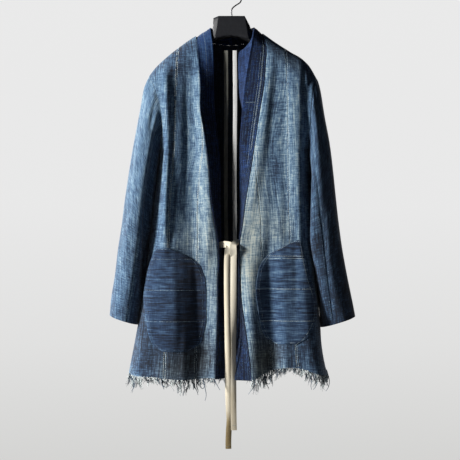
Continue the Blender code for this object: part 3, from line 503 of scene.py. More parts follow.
def run_across(grid):
    """Distance from the first column, along each row of a grid of points."""
    run = np.linalg.norm(np.diff(grid, axis=1), axis=-1)
    return np.concatenate([np.zeros((len(grid), 1)), np.cumsum(run, axis=1)], axis=1)


def seam_distance(across):
    """Distance to the nearer side of a strip."""
    return np.minimum(across, across[:, -1:] - across)


def line_at(line, run, at):
    """Points of a line, read at distances along it."""
    return np.stack([np.interp(at, run, line[:, c]) for c in range(3)], axis=-1)


def outer_edge(side, face, z):
    """The armhole, then the side seam: x and how far it stands off y = 0."""
    tip_x, tip_z, low_z, *depth, inward = SLEEVE[side][0]
    under_x = SIDE_SEAM[0][COLUMN[side]]
    middle = 0.5 * (tip_z + low_z)
    half = 0.5 * (tip_z - low_z)
    c = np.clip((z - middle) / half, -1, 1)
    s2 = 1 - c * c
    loop = under_x + (tip_x - under_x) * 0.5 * (c + 1) - side * inward * s2
    seam = curve(SIDE_SEAM, z, COLUMN[side])
    above = z > UNDERARM_Z
    stand = depth[COLUMN[face] - 1] * np.sqrt(s2)
    return np.where(above, loop, seam), np.where(above, stand, 0)


def folds(side, face, x, z):
    """Folds and creases at a point, out of the cloth."""
    total = np.zeros(np.broadcast(x, z).shape)
    for top_x, top_z, low_x, low_z, out, half in FOLDS[side, face]:
        t = np.clip((top_z - z) / (top_z - low_z), 0, 1)
        ends = np.sin(math.pi * t) ** 0.6
        total = total + out * ends * bump_at(x - (top_x + (low_x - top_x) * t), half)
    return total


def ripples(side, face, x, z):
    """Shallow unevenness of a loose hand-woven cloth."""
    a = 3.1 * side + 1.7 * face
    run = x + 9 * np.sin(z / 140 + a) + 4 * np.sin(z / 57 + 2 * a)
    slow = 0.55 + 0.45 * np.sin(z / 95 + x / 60 + a)
    wide = 0.75 * np.sin(run / 10.5 + a) * slow
    fine = 0.3 * np.sin(run / 4.6 + 2 * a) * (1.1 - slow)
    level = 0.22 * np.sin(z / 9 + 2 * np.sin(x / 31 + a))
    return wide + fine + level


def cloth_y(side, face, x, z):
    """Outer face of the front or the back at x and z."""
    edge_x, edge_y = outer_edge(side, face, z)
    near = quarter(side * (edge_x - x) / SIDE_ROUNDING)
    least, widening = SHOULDER_ROUNDING
    over = quarter((curve(RIDGE, x) - z) / (least + widening * np.abs(x)))
    depth = curve(DEPTH, z, COLUMN[face])
    relief = (folds(side, face, x, z) + ripples(side, face, x, z)) * near
    return face * (edge_y * (1 - near) + (depth + relief) * over * near)


def cloth_normal(side, face, x, z):
    """Unit normal of the cloth, pointing out of the coat."""
    h = 0.5
    dx = (cloth_y(side, face, x + h, z) - cloth_y(side, face, x - h, z)) / (2 * h)
    dz = (cloth_y(side, face, x, z + h) - cloth_y(side, face, x, z - h)) / (2 * h)
    return unit(xyz(-dx, 1, -dz) * face)


def centre_back(side, z):
    return np.full(np.shape(z), CENTRE_BACK_X)


def collar_seam(side, z):
    return curve(COLLAR_SEAM[side], z)


def centre_seam(side, z):
    rows = ((STRIP_TOP[side], 0, 0), *CENTRE_STRIP)
    return collar_seam(side, z) + side * np.maximum(curve(rows, z, COLUMN[side]), 0)


def panel_seam(side, z):
    return curve(PANEL_SEAM, z, COLUMN[side])


def outer_seam(side, z):
    return outer_edge(side, FRONT, z)[0]


def top_edge(face, x):
    if face == FRONT:
        return curve(RIDGE, x)
    inside = (x > NECKLINE[0][0]) & (x < NECKLINE[-1][0])
    return np.where(inside, curve(NECKLINE, x), curve(RIDGE, x))


def fade_at(side, face, x, z):
    """How washed out and how stained the cloth is at a point."""
    pale = np.full(np.broadcast(x, z).shape, FADE_BASE)
    olive = np.zeros_like(pale)
    for at_x, at_z, wide, tall, more, stain in FADES[side, face]:
        share = np.exp(-((x - at_x) / wide) ** 2 - ((z - at_z) / tall) ** 2)
        pale = pale + more * share
        olive = olive + stain * share
    return pale, np.clip(olive, 0, 1)


def add_piece(name, verts, faces, finish, weave=None, tone=None, nodes=(), sharp=50):
    """Piece from arrays in millimetres, with its cloth coordinates and tones.

    The finish is its material and a slot name, which only decides whether
    it rides on the one body. It stands for the solids named in nodes.
    """
    material, slot = finish
    verts = np.asarray(verts, float).reshape(-1, 3)
    mesh = bpy.data.meshes.new(name)
    mesh.from_pydata((verts * MM).tolist(), [], [list(map(int, f)) for f in faces])
    mesh.update()
    mesh.shade_smooth()
    if sharp:
        mesh.set_sharp_from_angle(angle=math.radians(sharp))
    mesh.materials.append(material)
    layers = (("weave", "FLOAT_VECTOR", "vector", weave), ("tone", "FLOAT_COLOR", "color", tone))
    for key, kind, field, values in layers:
        if values is not None:
            layer = mesh.attributes.new(key, kind, "POINT")
            layer.data.foreach_set(field, np.asarray(values, np.float32).reshape(-1))
    obj = bpy.data.objects.new(name, mesh)
    bpy.context.scene.collection.objects.link(obj)
    if slot:
        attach(obj, "root")
    if nodes:
        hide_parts(*nodes)
    return obj


def grid_quads(rows, cols, wrap=False):
    """Quads of a grid of points, as an array."""
    j, i = np.meshgrid(np.arange(rows - 1), np.arange(cols if wrap else cols - 1), indexing="ij")
    k = (i + 1) % cols
    low = j * cols
    return np.stack([low + i, low + k, low + cols + k, low + cols + i], axis=-1).reshape(-1, 4)


def outward(verts, faces):
    """The same faces, turned if they enclose a negative volume."""
    v = np.asarray(verts, float).reshape(-1, 3)
    v = v - v.mean(axis=0)
    a, b, c, d = np.asarray(faces).T
    total = np.sum(v[a] * np.cross(v[b], v[c])) + np.sum(v[a] * np.cross(v[c], v[d]))
    return faces[:, ::-1] if total < 0 else faces


def tube_faces(count, points, corners):
    """Sides and end caps of several tubes that follow each other in one mesh."""
    size = points * corners
    first = size * np.arange(count)[:, None]
    sides = (grid_quads(points, corners, wrap=True)[None] + first[..., None]).reshape(-1, 4)
    ends = [first + np.arange(corners)[::-1], first + np.arange(size - corners, size)]
    return list(sides) + list(np.concatenate(ends))


def shell(name, outer, inner, weave, shades, finish, nodes):
    """Thin closed sheet between an outer and an inner grid of points."""
    rows, cols = outer.shape[:2]
    count = rows * cols
    face = grid_quads(rows, cols)
    left = np.arange(rows) * cols
    bottom = (rows - 1) * cols + np.arange(cols)
    right = left[::-1] + cols - 1
    top = np.arange(cols)[::-1]
    rim = np.concatenate([left[:-1], bottom[:-1], right[:-1], top[:-1]])
    after = np.roll(rim, -1)
    band = np.stack([rim, after, count + after, count + rim], axis=-1)
    verts = np.concatenate([outer.reshape(-1, 3), inner.reshape(-1, 3)])
    faces = outward(verts, np.concatenate([face, count + face[:, ::-1], band]))
    both = np.concatenate([weave.reshape(-1, 3)] * 2)
    tone = np.concatenate([shade.reshape(-1, 4) for shade in shades])
    return add_piece(name, verts, faces, finish, both, tone, nodes)


def tones(pale, olive=0, painted_shade=0):
    """Pale, olive and painted shade amounts packed as a colour."""
    pale, olive, painted_shade = np.broadcast_arrays(pale, olive, painted_shade)
    return np.stack([pale, olive, painted_shade, np.ones_like(pale)], axis=-1)


def hung_cloth(name, outer, inner, weave, shades, finish):
    """One cut piece of cloth, standing for the solid of the same name."""
    obj = shell(f"{name}_cloth", outer, inner, weave, shades, finish, (name,))


def seam_shares(width, columns):
    """Columns of a strip, close together at both seams."""
    edge = np.array(EDGE_COLUMNS) / width
    middle = np.linspace(edge[-1], 1 - edge[-1], columns)
    return np.concatenate([edge[:-1], middle, 1 - edge[:-1][::-1]])


def rounded_shares(width, columns):
    """Columns of a side strip, closer together towards its outer edge."""
    edge = np.array(EDGE_COLUMNS) / width
    bend = np.sin(0.5 * math.pi * np.linspace(0, 1, columns))
    return np.concatenate([edge[:-1], edge[-1] + (1 - edge[-1]) * bend])


# Rough heights of the top and the hem, where the search for them starts
FIRST_GUESS = (-150, -1000)
# Strips of one half of the body: part, face, inner seam, outer seam, columns, sewn columns
STRIPS = (
    ("centre", FRONT, collar_seam, centre_seam, seam_shares(52, 16), (-3,)),
    ("middle", FRONT, centre_seam, panel_seam, seam_shares(80, 26), (2, -3)),
    ("side", FRONT, panel_seam, outer_seam, rounded_shares(70, 26), (2,)),
    ("centre", BACK, centre_back, panel_seam, seam_shares(150, 40), (2, -3)),
    ("side", BACK, panel_seam, outer_seam, rounded_shares(70, 26), (2,)),
)


def strip_points(side, face, inner_seam, far_seam, share, short):
    """Outer points and normals of one strip of cloth, top to hem."""
    def across(z):
        near = inner_seam(side, z)
        return near + (far_seam(side, z) - near) * share

    z_top, z_hem = (np.full(len(share), guess) for guess in FIRST_GUESS)
    for _ in range(40):
        z_top = 0.5 * z_top + 0.5 * top_edge(face, across(z_top))
    for _ in range(20):
        z_hem = curve(HEM, across(z_hem), COLUMN[face])
    grid = []
    start = STRIP_TOP[side] - 6
    if not short:
        start = UNDERARM_Z
        for j in range(ARMHOLE_ROWS):
            drop = 0.5 * (1 - math.cos(math.pi * j / ARMHOLE_ROWS))
            grid.append(z_top + (UNDERARM_Z - z_top) * drop)
    for j in range(SKIRT_ROWS + 1):
        grid.append(start + (z_hem - start) * j / SKIRT_ROWS)
    z = np.array(grid)
    x = np.array([across(row) for row in z])
    return xyz(x, cloth_y(side, face, x, z), z), cloth_normal(side, face, x, z)


def sunk_seams(points, normals):
    """Draws the edges of a strip down a little where it is sewn to its neighbours."""
    across = run_across(points)
    near = seam_distance(across)
    drop = SEAM_GROOVE * near_to(near, 1.3)
    pucker = 0.35 * np.sin(points[..., 2] / 2.6 + 0.02 * points[..., 0]) * np.exp(-near / 6)
    lowered = np.clip((points[:1, :, 2] - points[..., 2]) / 20, 0, 1)
    return points - normals * ((drop - pucker) * lowered)[..., None], across


def build_strip(name, side, face, inner_seam, far_seam, share, short, cloth):
    """One strip of the front or the back. Gives back its points and normals."""
    points, normals = strip_points(side, face, inner_seam, far_seam, share, short)
    x, z = points[..., 0], points[..., 2]
    if not short:
        slope = (curve(RIDGE, x[0] + 1) - curve(RIDGE, x[0] - 1)) / 2
        on_ridge = np.abs(points[0, :, 1]) < 0.05
        normals[0, on_ridge] = unit(xyz(-slope, 0 * slope, 1))[on_ridge]
    outer, across = sunk_seams(points, normals)
    seed = 3.7 * len(name) + 11 * (side + 2) + 5 * face
    pale, olive = fade_at(side, face, x, z)
    edge_wear = 0.09 * np.exp(-seam_distance(across) / 2.5)
    hem_wear = 0.10 * np.exp(-np.abs(z - z[-1:]) / 14)
    lit = tones(pale + edge_wear + hem_wear, olive)
    # Inner face: darker, with painted shade
    shaded_inside = tones(np.full_like(pale, INSIDE_TONE), 0, INSIDE_PAINTED_SHADE[face])
    hung_cloth(name, outer, points - (WALL - 0.2) * normals, xyz(across * MM, z * MM, seed),
               (lit, shaded_inside), cloth)
    return outer, normals


def build_body(side, cloth, thread, threads):
    """The five strips of one half of the body, their seams and their fringe."""
    word = WORDS[side]
    made = {FRONT: [], BACK: []}
    lines = []
    for part, face, inner_seam, far_seam, share, sewn in STRIPS:
        short = (part, face) == ("centre", FRONT)
        name = f"{FACES[face]}_{word}_{part}"
        outer, normals = build_strip(name, side, face, inner_seam, far_seam, share, short, cloth)
        made[face].append((outer, normals))
        for column in sewn:
            start = STITCHES_TOP
            if (part, column) == ("middle", 2):
                start = STRIP_TOP[side] - 10
            rows = outer[:, column, 2] < start
            lines.append((outer[rows, column], normals[rows, column]))
    # The left seam stitches are paler than the right ones, painted light where they lie in shaded
    # troughs
    stitches(f"body_{word}_seam_stitches", lines, thread, seed=11 + side, length=4, gap=0.9,
             worn=0.1, shade=(0.65, 1) if side == LEFT else (0.5, 0.9))
    for face, seed in ((FRONT, 5), (BACK, 9)):
        name = f"fringe_{FACES[face]}_{word}"
        frayed(name, made[face], seed + side, threads)


def sleeve_points(side, s, degrees):
    """Points round the sleeve at stations s, counted from the outer line round by the front."""
    s = np.asarray(s, float)[:, None]
    outer_x, outer_z, inner_z, front, back, inward = curves(SLEEVE[side], s)
    seam_x = outer_seam(side, np.minimum(inner_z, UNDERARM_Z - 0.001))
    inner_x = seam_x - side * 0.4 * np.minimum(s, 1)
    angle = np.radians(np.asarray(degrees, float))[None, :]
    c = np.cos(angle)
    sn = np.sin(angle)
    x = 0.5 * (outer_x + inner_x) + 0.5 * (outer_x - inner_x) * c - side * inward * sn * sn
    z = 0.5 * (outer_z + inner_z) + 0.5 * (outer_z - inner_z) * c
    return xyz(x, np.where(sn > 0, -front * sn, -back * sn), z)


def sleeve_relief(side, s, degrees):
    """Folds, gathers at the head and slow waves of a sleeve, out of the cloth."""
    total = np.zeros(np.broadcast(s, degrees).shape)
    for a0, s0, a1, s1, out, half in SLEEVE_FOLDS[side]:
        t = part_of(s, s0, s1 - s0)
        away = (degrees - (a0 + (a1 - a0) * t) + 180) % 360 - 180
        ends = np.sqrt(np.maximum(np.sin(math.pi * (0.08 + 0.92 * t)), 0))
        total = total + out * ends * bump_at(away, half)
    gathers = 1.6 * np.sin(np.radians(degrees * 9) + 2 * side) * near_to(s - 0.35, 0.35)
    slow = 0.5 * np.sin(np.radians(degrees * 5) + 1.7 * s)
    slow = slow + 0.4 * np.sin(2.3 * s + degrees / 40)
    head = np.clip(s / 0.3, 0, 1)
    return (total + gathers * (np.sin(np.radians(degrees)) > -0.2) + slow) * head


def sleeve_fade_and_painted_light(side, s, degrees):
    """The sleeves are palest at the head and turn deeper towards the cuffs, with painted light and
    shade on top.
    """
    pale = 0.46 - 0.012 * s
    # Painted light and shade: the left sleeve is paler on its outer side, which faces the light,
    # with a painted highlight at the cuff, and darker on its inner side; the whole right sleeve is
    # darker, more so towards its cuff
    if side == LEFT:
        pale = pale - 0.12 * part_of(degrees, 102, 20)
        pale = pale + 0.08 * bump_at(degrees - 20, 60) * np.clip(1 - s / 7, 0, 1)
        pale = pale + 0.14 * near_to(s - 8.4, 0.5) * bump_at(degrees - 5, 30)
    else:
        pale = pale - 0.10 - 0.016 * s
    return pale, 0.10 * near_to(s - 5, 2.5)


def build_sleeve(side, cloth, thread):
    """Upper and under piece of one sleeve, with the stitches of their seams."""
    word = WORDS[side]
    s = (len(SLEEVE[side]) - 1) * np.linspace(0, 1, SLEEVE_ROWS)
    lines = []
    for part, first, last, seed in (("upper", -126, 108, 43), ("under", 108, 234, 40)):
        degrees = np.linspace(first, last, round(COLUMNS_ROUND_SLEEVE * (last - first) / 360))
        ring = sleeve_points(side, s, degrees)
        wide = sleeve_points(side, s, np.concatenate([[first - 2], degrees, [last + 2]]))
        normals = unit(np.cross(np.gradient(ring, axis=0), wide[:, 2:] - wide[:, :-2]))
        middle = sleeve_points(side, s, [0, 180]).mean(axis=1, keepdims=True)
        if np.sum(normals * (ring - middle)) < 0:
            normals = -normals
        across = run_across(ring)
        near = seam_distance(across)
        relief = sleeve_relief(side, s[:, None], degrees[None, :]) - near_to(near, 1.6)
        outer = ring + normals * relief[..., None]
        along = ring[..., 2].mean(axis=1, keepdims=True)
        weave = xyz(across * MM, along * MM, seed + 9 * side)
        pale, olive = sleeve_fade_and_painted_light(side, s[:, None] + 0 * across, degrees[None, :] + 0 * across)
        # Outer face, paler at its seams; inner face darker, with painted shade
        shades = (tones(pale + 0.14 * np.exp(-near / 2.5), olive),
                  tones(np.full_like(pale, INSIDE_TONE), 0, 0.4))
        hung_cloth(f"sleeve_{word}_{part}", outer, outer - (WALL - 0.2) * normals, weave, shades,
                   cloth)
        lines += [(outer[3:-3, column], normals[3:-3, column]) for column in (1, -2)]
    stitches(f"sleeve_{word}_seam_stitches", lines, thread, seed=21 + side, width=0.4, worn=0.5,
             shade=(0.1, 0.6))


def turned_edge(seam, fold):
    """Free edge of the band's inner half, folded back inside the outer half."""
    v = seam - fold
    length = np.linalg.norm(v)
    inside = np.array(NECK_MIDDLE) - fold
    if fold[2] < BAND_TOP:
        inside = np.array([np.sign(fold[0]) * 30, 25, 0])
    inside = inside - v * np.dot(inside, v) / length**2
    inside = inside / np.linalg.norm(inside)
    return fold + v / length * min(BAND_HALF, 0.82 * length) + BAND_TURN * inside


def band_row(side, z):
    """Seam, fold and free edge of the collar band at one height of a front."""
    def fold_at(height):
        return np.array([float(curve(BAND[side], height, c)) for c in (1, 2)] + [height])

    seam_x = float(collar_seam(side, z))
    seam = np.array([seam_x, float(cloth_y(side, FRONT, np.array(seam_x), np.array(z))), z])
    fold = fold_at(z)
    if z > BAND_TOP:
        end = 0 if side == LEFT else -1
        t = (z - BAND_TOP) / (NECKLINE[end][1] - BAND_TOP)
        low = fold_at(BAND_TOP)
        fold = low + (np.array(BAND_NECK[end][1:]) - low) * t
        fold[1] = low[1] * math.sqrt(max(0, 1 - t**2))
    free = turned_edge(seam, fold)
    if side == RIGHT:
        table = np.array(BAND_OPEN)
        share, *opened = (np.interp(-z, -table[:, 0], table[:, c]) for c in range(1, 5))
        free = free + (np.array(opened) - free) * share
    return seam, fold, free


def band_rows():
    """Rows of the band from the left hem up round the neck to the right hem."""
    rows = [band_row(LEFT, z) for z in np.linspace(*BAND_UP)]
    last = len(BAND_NECK) - 1
    for k in np.linspace(0, last, BAND_NECK_ROWS):
        seam_x, *fold = (float(value) for value in curves(BAND_NECK, k))
        seam_z = float(curve(NECKLINE, seam_x))
        side = LEFT if seam_x < CENTRE_BACK_X else RIGHT
        seam_y = 0
        if 0 < k < last:
            seam_y = float(cloth_y(side, BACK, np.array(seam_x), np.array(seam_z)))
        seam = np.array([seam_x, seam_y, seam_z])
        rows.append((seam, np.array(fold), turned_edge(seam, np.array(fold))))
    return rows + [band_row(RIGHT, z) for heights in BAND_DOWN for z in np.linspace(*heights)]


def band_section(seam, fold, free):
    """Points across the band: outer half, rounded fold, inner half."""
    a = unit(seam - fold)
    b = unit(free - fold)
    inward = unit(a + b)
    aside = unit(a - b)
    near = fold + inward + 0.5 * BAND_FOLD * aside
    far = fold + inward - 0.5 * BAND_FOLD * aside
    tip = 2 * (fold - 0.6 * inward) - 0.5 * (near + far)
    section = [seam + (near - seam) * t for t in OUTER_HALF]
    for t in (0, 0.25, 0.5, 0.75, 1):
        section.append((1 - t) ** 2 * near + 2 * t * (1 - t) * tip + t * t * far)
    return section + [far + (free - far) * t for t in INNER_HALF]


def build_band(dark, dark_thread, thread):
    """The two halves of the collar band and the rows of stitches along them."""
    outer = np.array([band_section(*row) for row in band_rows()])
    for _ in range(3):
        outer[1:-1] = 0.5 * outer[1:-1] + 0.25 * (outer[:-2] + outer[2:])
    normals = unit(np.cross(np.gradient(outer, axis=1), np.gradient(outer, axis=0)))
    if normals[int(np.argmax(outer[:, 0, 1])), 4, 1] < 0:
        normals = -normals
    across = run_across(outer)
    step = np.linalg.norm(np.gradient(outer[:, 0], axis=0), axis=-1)
    along = np.cumsum(step)[:, None] + 0 * across
    share = np.concatenate([OUTER_HALF, np.linspace(0.97, 1.03, 5), 1 + INNER_HALF])
    quilt = np.zeros_like(share)
    for line in BAND_STITCHES:
        quilt -= 0.7 * near_to(share - line, 0.03)
        quilt -= 0.5 * near_to(share - 2 + line, 0.03)
    relief = quilt[None, :] + 0.35 * np.sin(along / 3.1 + 8 * share) * (share < 1)
    middle_share = np.sin(math.pi * np.clip(share, 0, 1))
    relief = relief + 0.9 * np.sin(along / 47 + 3 * share) * middle_share
    x, y, z = (outer[:, :1, c] for c in range(3))
    sunk = np.sign(1 - x) * (y < -0.5) * (0.2 + WALL * np.abs(normals[:, :1, 0]))
    points = outer.copy()
    points[..., 0] += sunk * np.clip(1 - share / 0.3, 0, 1)
    points += normals * relief[..., None]
    opened = (share > 1) * ((x > 0) & (z > -460))
    pale = 0.25 + 0.10 * near_to(share - 1, 0.03) + 0 * along
    low = np.clip((-560 - z) / 120, 0, 1)
    pale = pale - (0.21 + 0.06 * low) * (x > 0)
    # On the left front the outer half of the band has painted light near the top and painted shade
    # below, where it turns inwards
    pale = pale + (x < 0) * (y < 10) * (0.08 - 0.28 * np.clip((-170 - z) / 90, 0, 1))
    lit = tones(pale + 0.13 * opened, 0.15 * opened)
    # Inner face: a little darker, with painted shade
    shaded_inside = tones(pale - 0.05, 0, 0.3)
    weave = xyz(across * MM, along * MM, 71)
    middle = int(np.argmin(np.abs(outer[:, 0, 0]) + 1e3 * (outer[:, 0, 1] < 20)))
    for side, part in ((LEFT, slice(0, middle + 1)), (RIGHT, slice(middle, None))):
        inner = points[part] - (WALL - 0.3) * normals[part]
        shades = (lit[part], shaded_inside[part])
        hung_cloth(f"collar_{WORDS[side]}", points[part], inner, weave[part], shades, dark)
    sew_band(points, normals, share, dark_thread, thread)


def sew_band(points, normals, share, dark_thread, thread):
    """Dark rows along the whole band, and the paler stretches that stand out on the fronts."""
    def row(t):
        i = int(np.clip(np.searchsorted(share, t) - 1, 0, len(share) - 2))
        f = (t - share[i]) / (share[i + 1] - share[i])
        line, up = (grid[:, i] * (1 - f) + grid[:, i + 1] * f for grid in (points, normals))
        return line, unit(up)

    def stretch(t, side, front_y, low_z, top_z):
        line, up = row(t)
        x, y, z = line.T
        kept = (side * x > 20) & (y < front_y) & (z > low_z) & (z < top_z)
        return line[kept], up[kept]

    lines = [row(t) for t in BAND_STITCHES]
    bold = [stretch(t, RIGHT, -5, -430, -140) for t in (0.19, 0.235)]
    fine = [stretch(0.53, LEFT, -2, -262, 0), stretch(0.36, RIGHT, -5, -470, -170)]
    joined = (points[:, 0, 0] > 0) & (points[:, 0, 1] < 0)
    at = int(np.argmin(np.where(joined, np.abs(points[:, 6, 2] - BAND_CROSS_Z), 1e6)))
    fine.append((points[at, 4:13], normals[at, 4:13]))
    stitches("collar_stitches", lines, dark_thread, seed=41, length=3.2, gap=0.6, width=0.36,
             lift=0.25, shade=(0.15, 0.45))
    stitches("collar_double_stitches", bold, thread, seed=43, length=4.2, gap=0.3, width=0.36,
             worn=0.03, shade=(0.5, 0.7))
    stitches("collar_fine_stitches", fine, thread, seed=47, length=4.2, gap=0.3, width=0.34,
             worn=0.03, shade=(0.42, 0.62))


def build_pocket(side, dark, thread):
    """Patch pocket, sewn down round its edge and standing off at its hand opening."""
    rows = POCKETS[side]
    share = np.linspace(0, 1, 56)[None, :]
    z = np.linspace(rows[0][0], rows[-1][0], 76)[:, None]
    inner_x, outer_x = (curve(rows, z, COLUMN[way]) for way in (-side, side))
    x = inner_x + (outer_x - inner_x) * share
    full_z = z + 0 * x
    base = xyz(x, cloth_y(side, FRONT, x, full_z), full_z)
    normals = cloth_normal(side, FRONT, x, full_z)
    width = np.abs(x[:, -1:] - x[:, :1])
    from_side = np.minimum(share, 1 - share) * width
    from_top = np.minimum(z[0] - z, z - z[-1]) * 1.4 + 2
    edge = np.minimum(from_side, from_top)
    lift = 1.9 + 2.2 * (1 - np.exp(-edge / 7))
    opening = 4.5 * np.exp(-((1 - share) * width / 13) ** 2)
    opening = opening * np.exp(-((z - HAND_OPENING_Z) / 72) ** 4)
    ridge = sum(0.9 * near_to(z - at + 0.02 * x, 1.6) for at in POCKET_ROWS[side])
    rib = 0.25 * np.sin(z / 2.1 + 1.5 * np.sin(x / 19))
    sewn = -0.8 * near_to(edge - 4, 1.4)
    outer = base + normals * (lift + opening + ridge + rib + sewn)[..., None]
    inner = base + normals * (0.3 + 0.9 * opening + 0.55 * (lift - 1.9))[..., None]
    pale = 0.21 + 0.16 * np.exp(-edge / 2) + 0.11 * (side == RIGHT) + 0 * edge
    # Painted shade where folds shade the pockets: the left pocket darkens over its inner half, the
    # right one towards its outer edge
    if side == LEFT:
        pale = pale - 0.15 * part_of(x, -150, 40)
    else:
        pale = pale - 0.10 * part_of(full_z, -700, 8) - 0.09 * part_of(x, 165, 20)
    name = f"pocket_{WORDS[side]}"
    # The inner face is darker, with painted shade
    hung_cloth(name, outer, inner, xyz(full_z * MM, x * MM, 83 + side),
               (tones(pale), tones(pale - 0.1, 0, 0.3)), dark)
    lines = [(outer[:, 3], normals[:, 3]), (outer[:, -4], normals[:, -4]),
             (outer[-2], normals[-2]), (outer[1], normals[1])]
    stitches(f"{name}_edge_stitches", lines, thread, seed=31 + side, length=3, gap=0.8, width=0.4,
             worn=0.2, shade=(0.1, 0.5) if side == LEFT else (0.4, 0.8))
    lines = [(level_line(outer, at), normals[len(normals) // 2]) for at in POCKET_ROWS[side]]
    stitches(f"{name}_row_stitches", lines, thread, seed=35 + side, length=3.8, gap=0.22,
             width=0.42, lift=0.4, worn=0.02, shade=(0.35, 0.6) if side == LEFT else (0.6, 0.85))


def level_line(grid, at):
    """Line across a grid at one height, slanting very slightly."""
    line = []
    for column in np.moveaxis(grid, 1, 0):
        goal = at - 0.02 * column[0, 0]
        line.append([np.interp(-goal, -column[:, 2], column[:, c]) for c in range(3)])
    return np.array(line)


def build_binding(side, finish):
    """Pale tape over the allowance of the centre back seam, standing a little proud."""
    middle, width = BINDINGS[side]
    z = np.linspace(*BINDING_ENDS, 190)[:, None]
    u = np.linspace(-0.5, 0.5, 7)[None, :]
    x = middle + u * width + 0.6 * np.sin(z / 61) + 0 * z
    full_z = z + 0 * x
    base = xyz(x, cloth_y(side, BACK, x, full_z), full_z)
    normals = cloth_normal(side, BACK, x, full_z)
    lift = WALL + 1 + 1.1 * (0.25 - u * u) * 4 + 0.2 * np.sin(z / 3.3 + 9 * u)
    outer = base - normals * lift[..., None]
    # The left binding is darkened as painted shade; the right one stays bright
    light = tones(0.9 - 0.62 * (side == LEFT) + 0 * full_z)
    hung_cloth(f"binding_{WORDS[side]}", outer, outer + 0.7 * normals,
               xyz(u * width * MM, full_z * MM, 90 + side), (light, light), finish)


def stitches(name, lines, finish, seed, length=3.4, gap=1.5, width=0.5, lift=0.35, worn=0.12,
             shade=(0.55, 1)):
    """Short raised stitches along lines of points, joined in one mesh."""
    rng = np.random.default_rng(seed)
    swell = np.array([0.35, 1, 1, 0.35])[:, None]
    rise = np.array([0.2, 1, 1, 0.2])[:, None]
    quads = np.concatenate([grid_quads(4, 4, wrap=True)[:, ::-1], [[0, 1, 2, 3], [15, 14, 13, 12]]])
    verts, tone = [], []
    for points, normals in lines:
        run = run_across(points[None])[0]
        at = 1
        while at + length < run[-1]:
            this = length * rng.uniform(0.75, 1.2)
            stops = at + this * np.array([0, 0.2, 0.8, 1])
            p = line_at(points, run, stops)
            n = unit(line_at(normals, run, stops))
            at += this + gap * rng.uniform(0.7, 1.4)
            if rng.random() < worn:
                continue
            side = unit(np.cross(n, p[-1] - p[0]))
            high = p + n * lift * rise
            ring = np.stack([high - side * width * swell, high + n * 0.3 * width * swell,
                             high + side * width * swell, high - n * 0.5], axis=1)
            verts.append(ring.reshape(-1, 3))
            tone.append(np.full(16, rng.uniform(*shade)))
    faces = (quads[None] + 16 * np.arange(len(verts))[:, None, None]).reshape(-1, 4)
    verts = np.concatenate(verts)
    return add_piece(name, verts, faces, finish, verts * MM, tones(np.concatenate(tone)))


def frayed(name, edges, seed, finish):
    """Loose threads hanging from the hem: curly bundles, single threads and short fluff."""
    rng = np.random.default_rng(seed)
    hem = np.concatenate([e[0][-1] for e in edges])
    out = np.concatenate([e[1][-1] for e in edges])
    run = run_across(hem[None])[0]
    bundles = int(run[-1] / FRINGE_STEP)
    kind = rng.random(bundles)
    many = np.where(kind < 0.62, rng.integers(5, 11, bundles), np.where(kind < 0.8, 1, 2))
    fluff = kind > 0.8
    wave = 1 + 0.35 * np.sin(np.linspace(0, run[-1] / 23, bundles) + seed)
    facts = {
        "at": np.linspace(0.5, run[-1] - 0.5, bundles) + rng.normal(0, 1, bundles),
        "long": rng.uniform(*FRINGE_REACH, bundles) * wave * np.where(fluff, 0.3, 1),
        "lean": rng.normal(0, 0.30, bundles),
        "kick": rng.normal(0, 0.22, bundles),
        "curl": rng.uniform(*FRINGE_CURL, bundles) * np.where(fluff, 0.5, 1),
        "turns": rng.uniform(0.5, 1.7, bundles),
        "phase": rng.uniform(0, 2 * math.pi, bundles),
        "shade": np.where(rng.random(bundles) < FRINGE_DARK_SHARE,
                          rng.uniform(0, 0.18, bundles), rng.uniform(0.7, 1, bundles)),
    }
    own = {key: np.repeat(value, many)[:, None] for key, value in facts.items()}
    count = int(many.sum())
    at = np.clip(own["at"][:, 0] + rng.normal(0, 0.6, count), 0, run[-1])
    root = line_at(hem, run, at)
    normal = unit(line_at(out, run, at))
    tangent = unit(line_at(hem, run, at + 1) - line_at(hem, run, at - 1) + 1e-6)
    t = np.linspace(0, 1, FRINGE_POINTS)[None, :]
    long = own["long"] * rng.uniform(0.7, 1.05, (count, 1))
    angle = own["turns"] * 2 * math.pi * t + own["phase"] + rng.normal(0, 0.25, (count, 1))
    spread = rng.normal(0, 0.8, (count, 1)) * t
    curl = own["curl"] * t ** 0.7 * np.sin(angle)
    swing = 0.7 * own["curl"] * t ** 0.7 * np.cos(angle)
    aside = own["lean"] * long * t ** 1.3 + curl + spread
    away = own["kick"] * long * t ** 1.4 + swing + 0.6 * spread
    line = (root + normal * (-0.5 * WALL + rng.uniform(-0.4, 0.4, (count, 1))))[:, None, :]
    line = line + tangent[:, None, :] * aside[..., None] + normal[:, None, :] * away[..., None]
    line[..., 2] += 1.5 - long * (t - 0.10 * np.sin(angle) * t)
    thick = THREAD * rng.uniform(0.7, 1.2, (count, 1)) * (1 - 0.45 * t)
    corner = np.radians([90, 210, 330])
    ring = line[:, :, None, :] + thick[:, :, None, None] * xyz(np.cos(corner), np.sin(corner), 0)
    verts = ring.reshape(-1, 3)
    shade = np.clip(own["shade"] + rng.normal(0, 0.06, (count, 1)) + 0.08 * t, 0, 1)
    tone = tones(np.repeat(shade.reshape(-1), 3))
    faces = tube_faces(count, FRINGE_POINTS, 3)
    add_piece(f"{name}_threads", verts, faces, finish, verts * MM, tone, (name,), sharp=0)


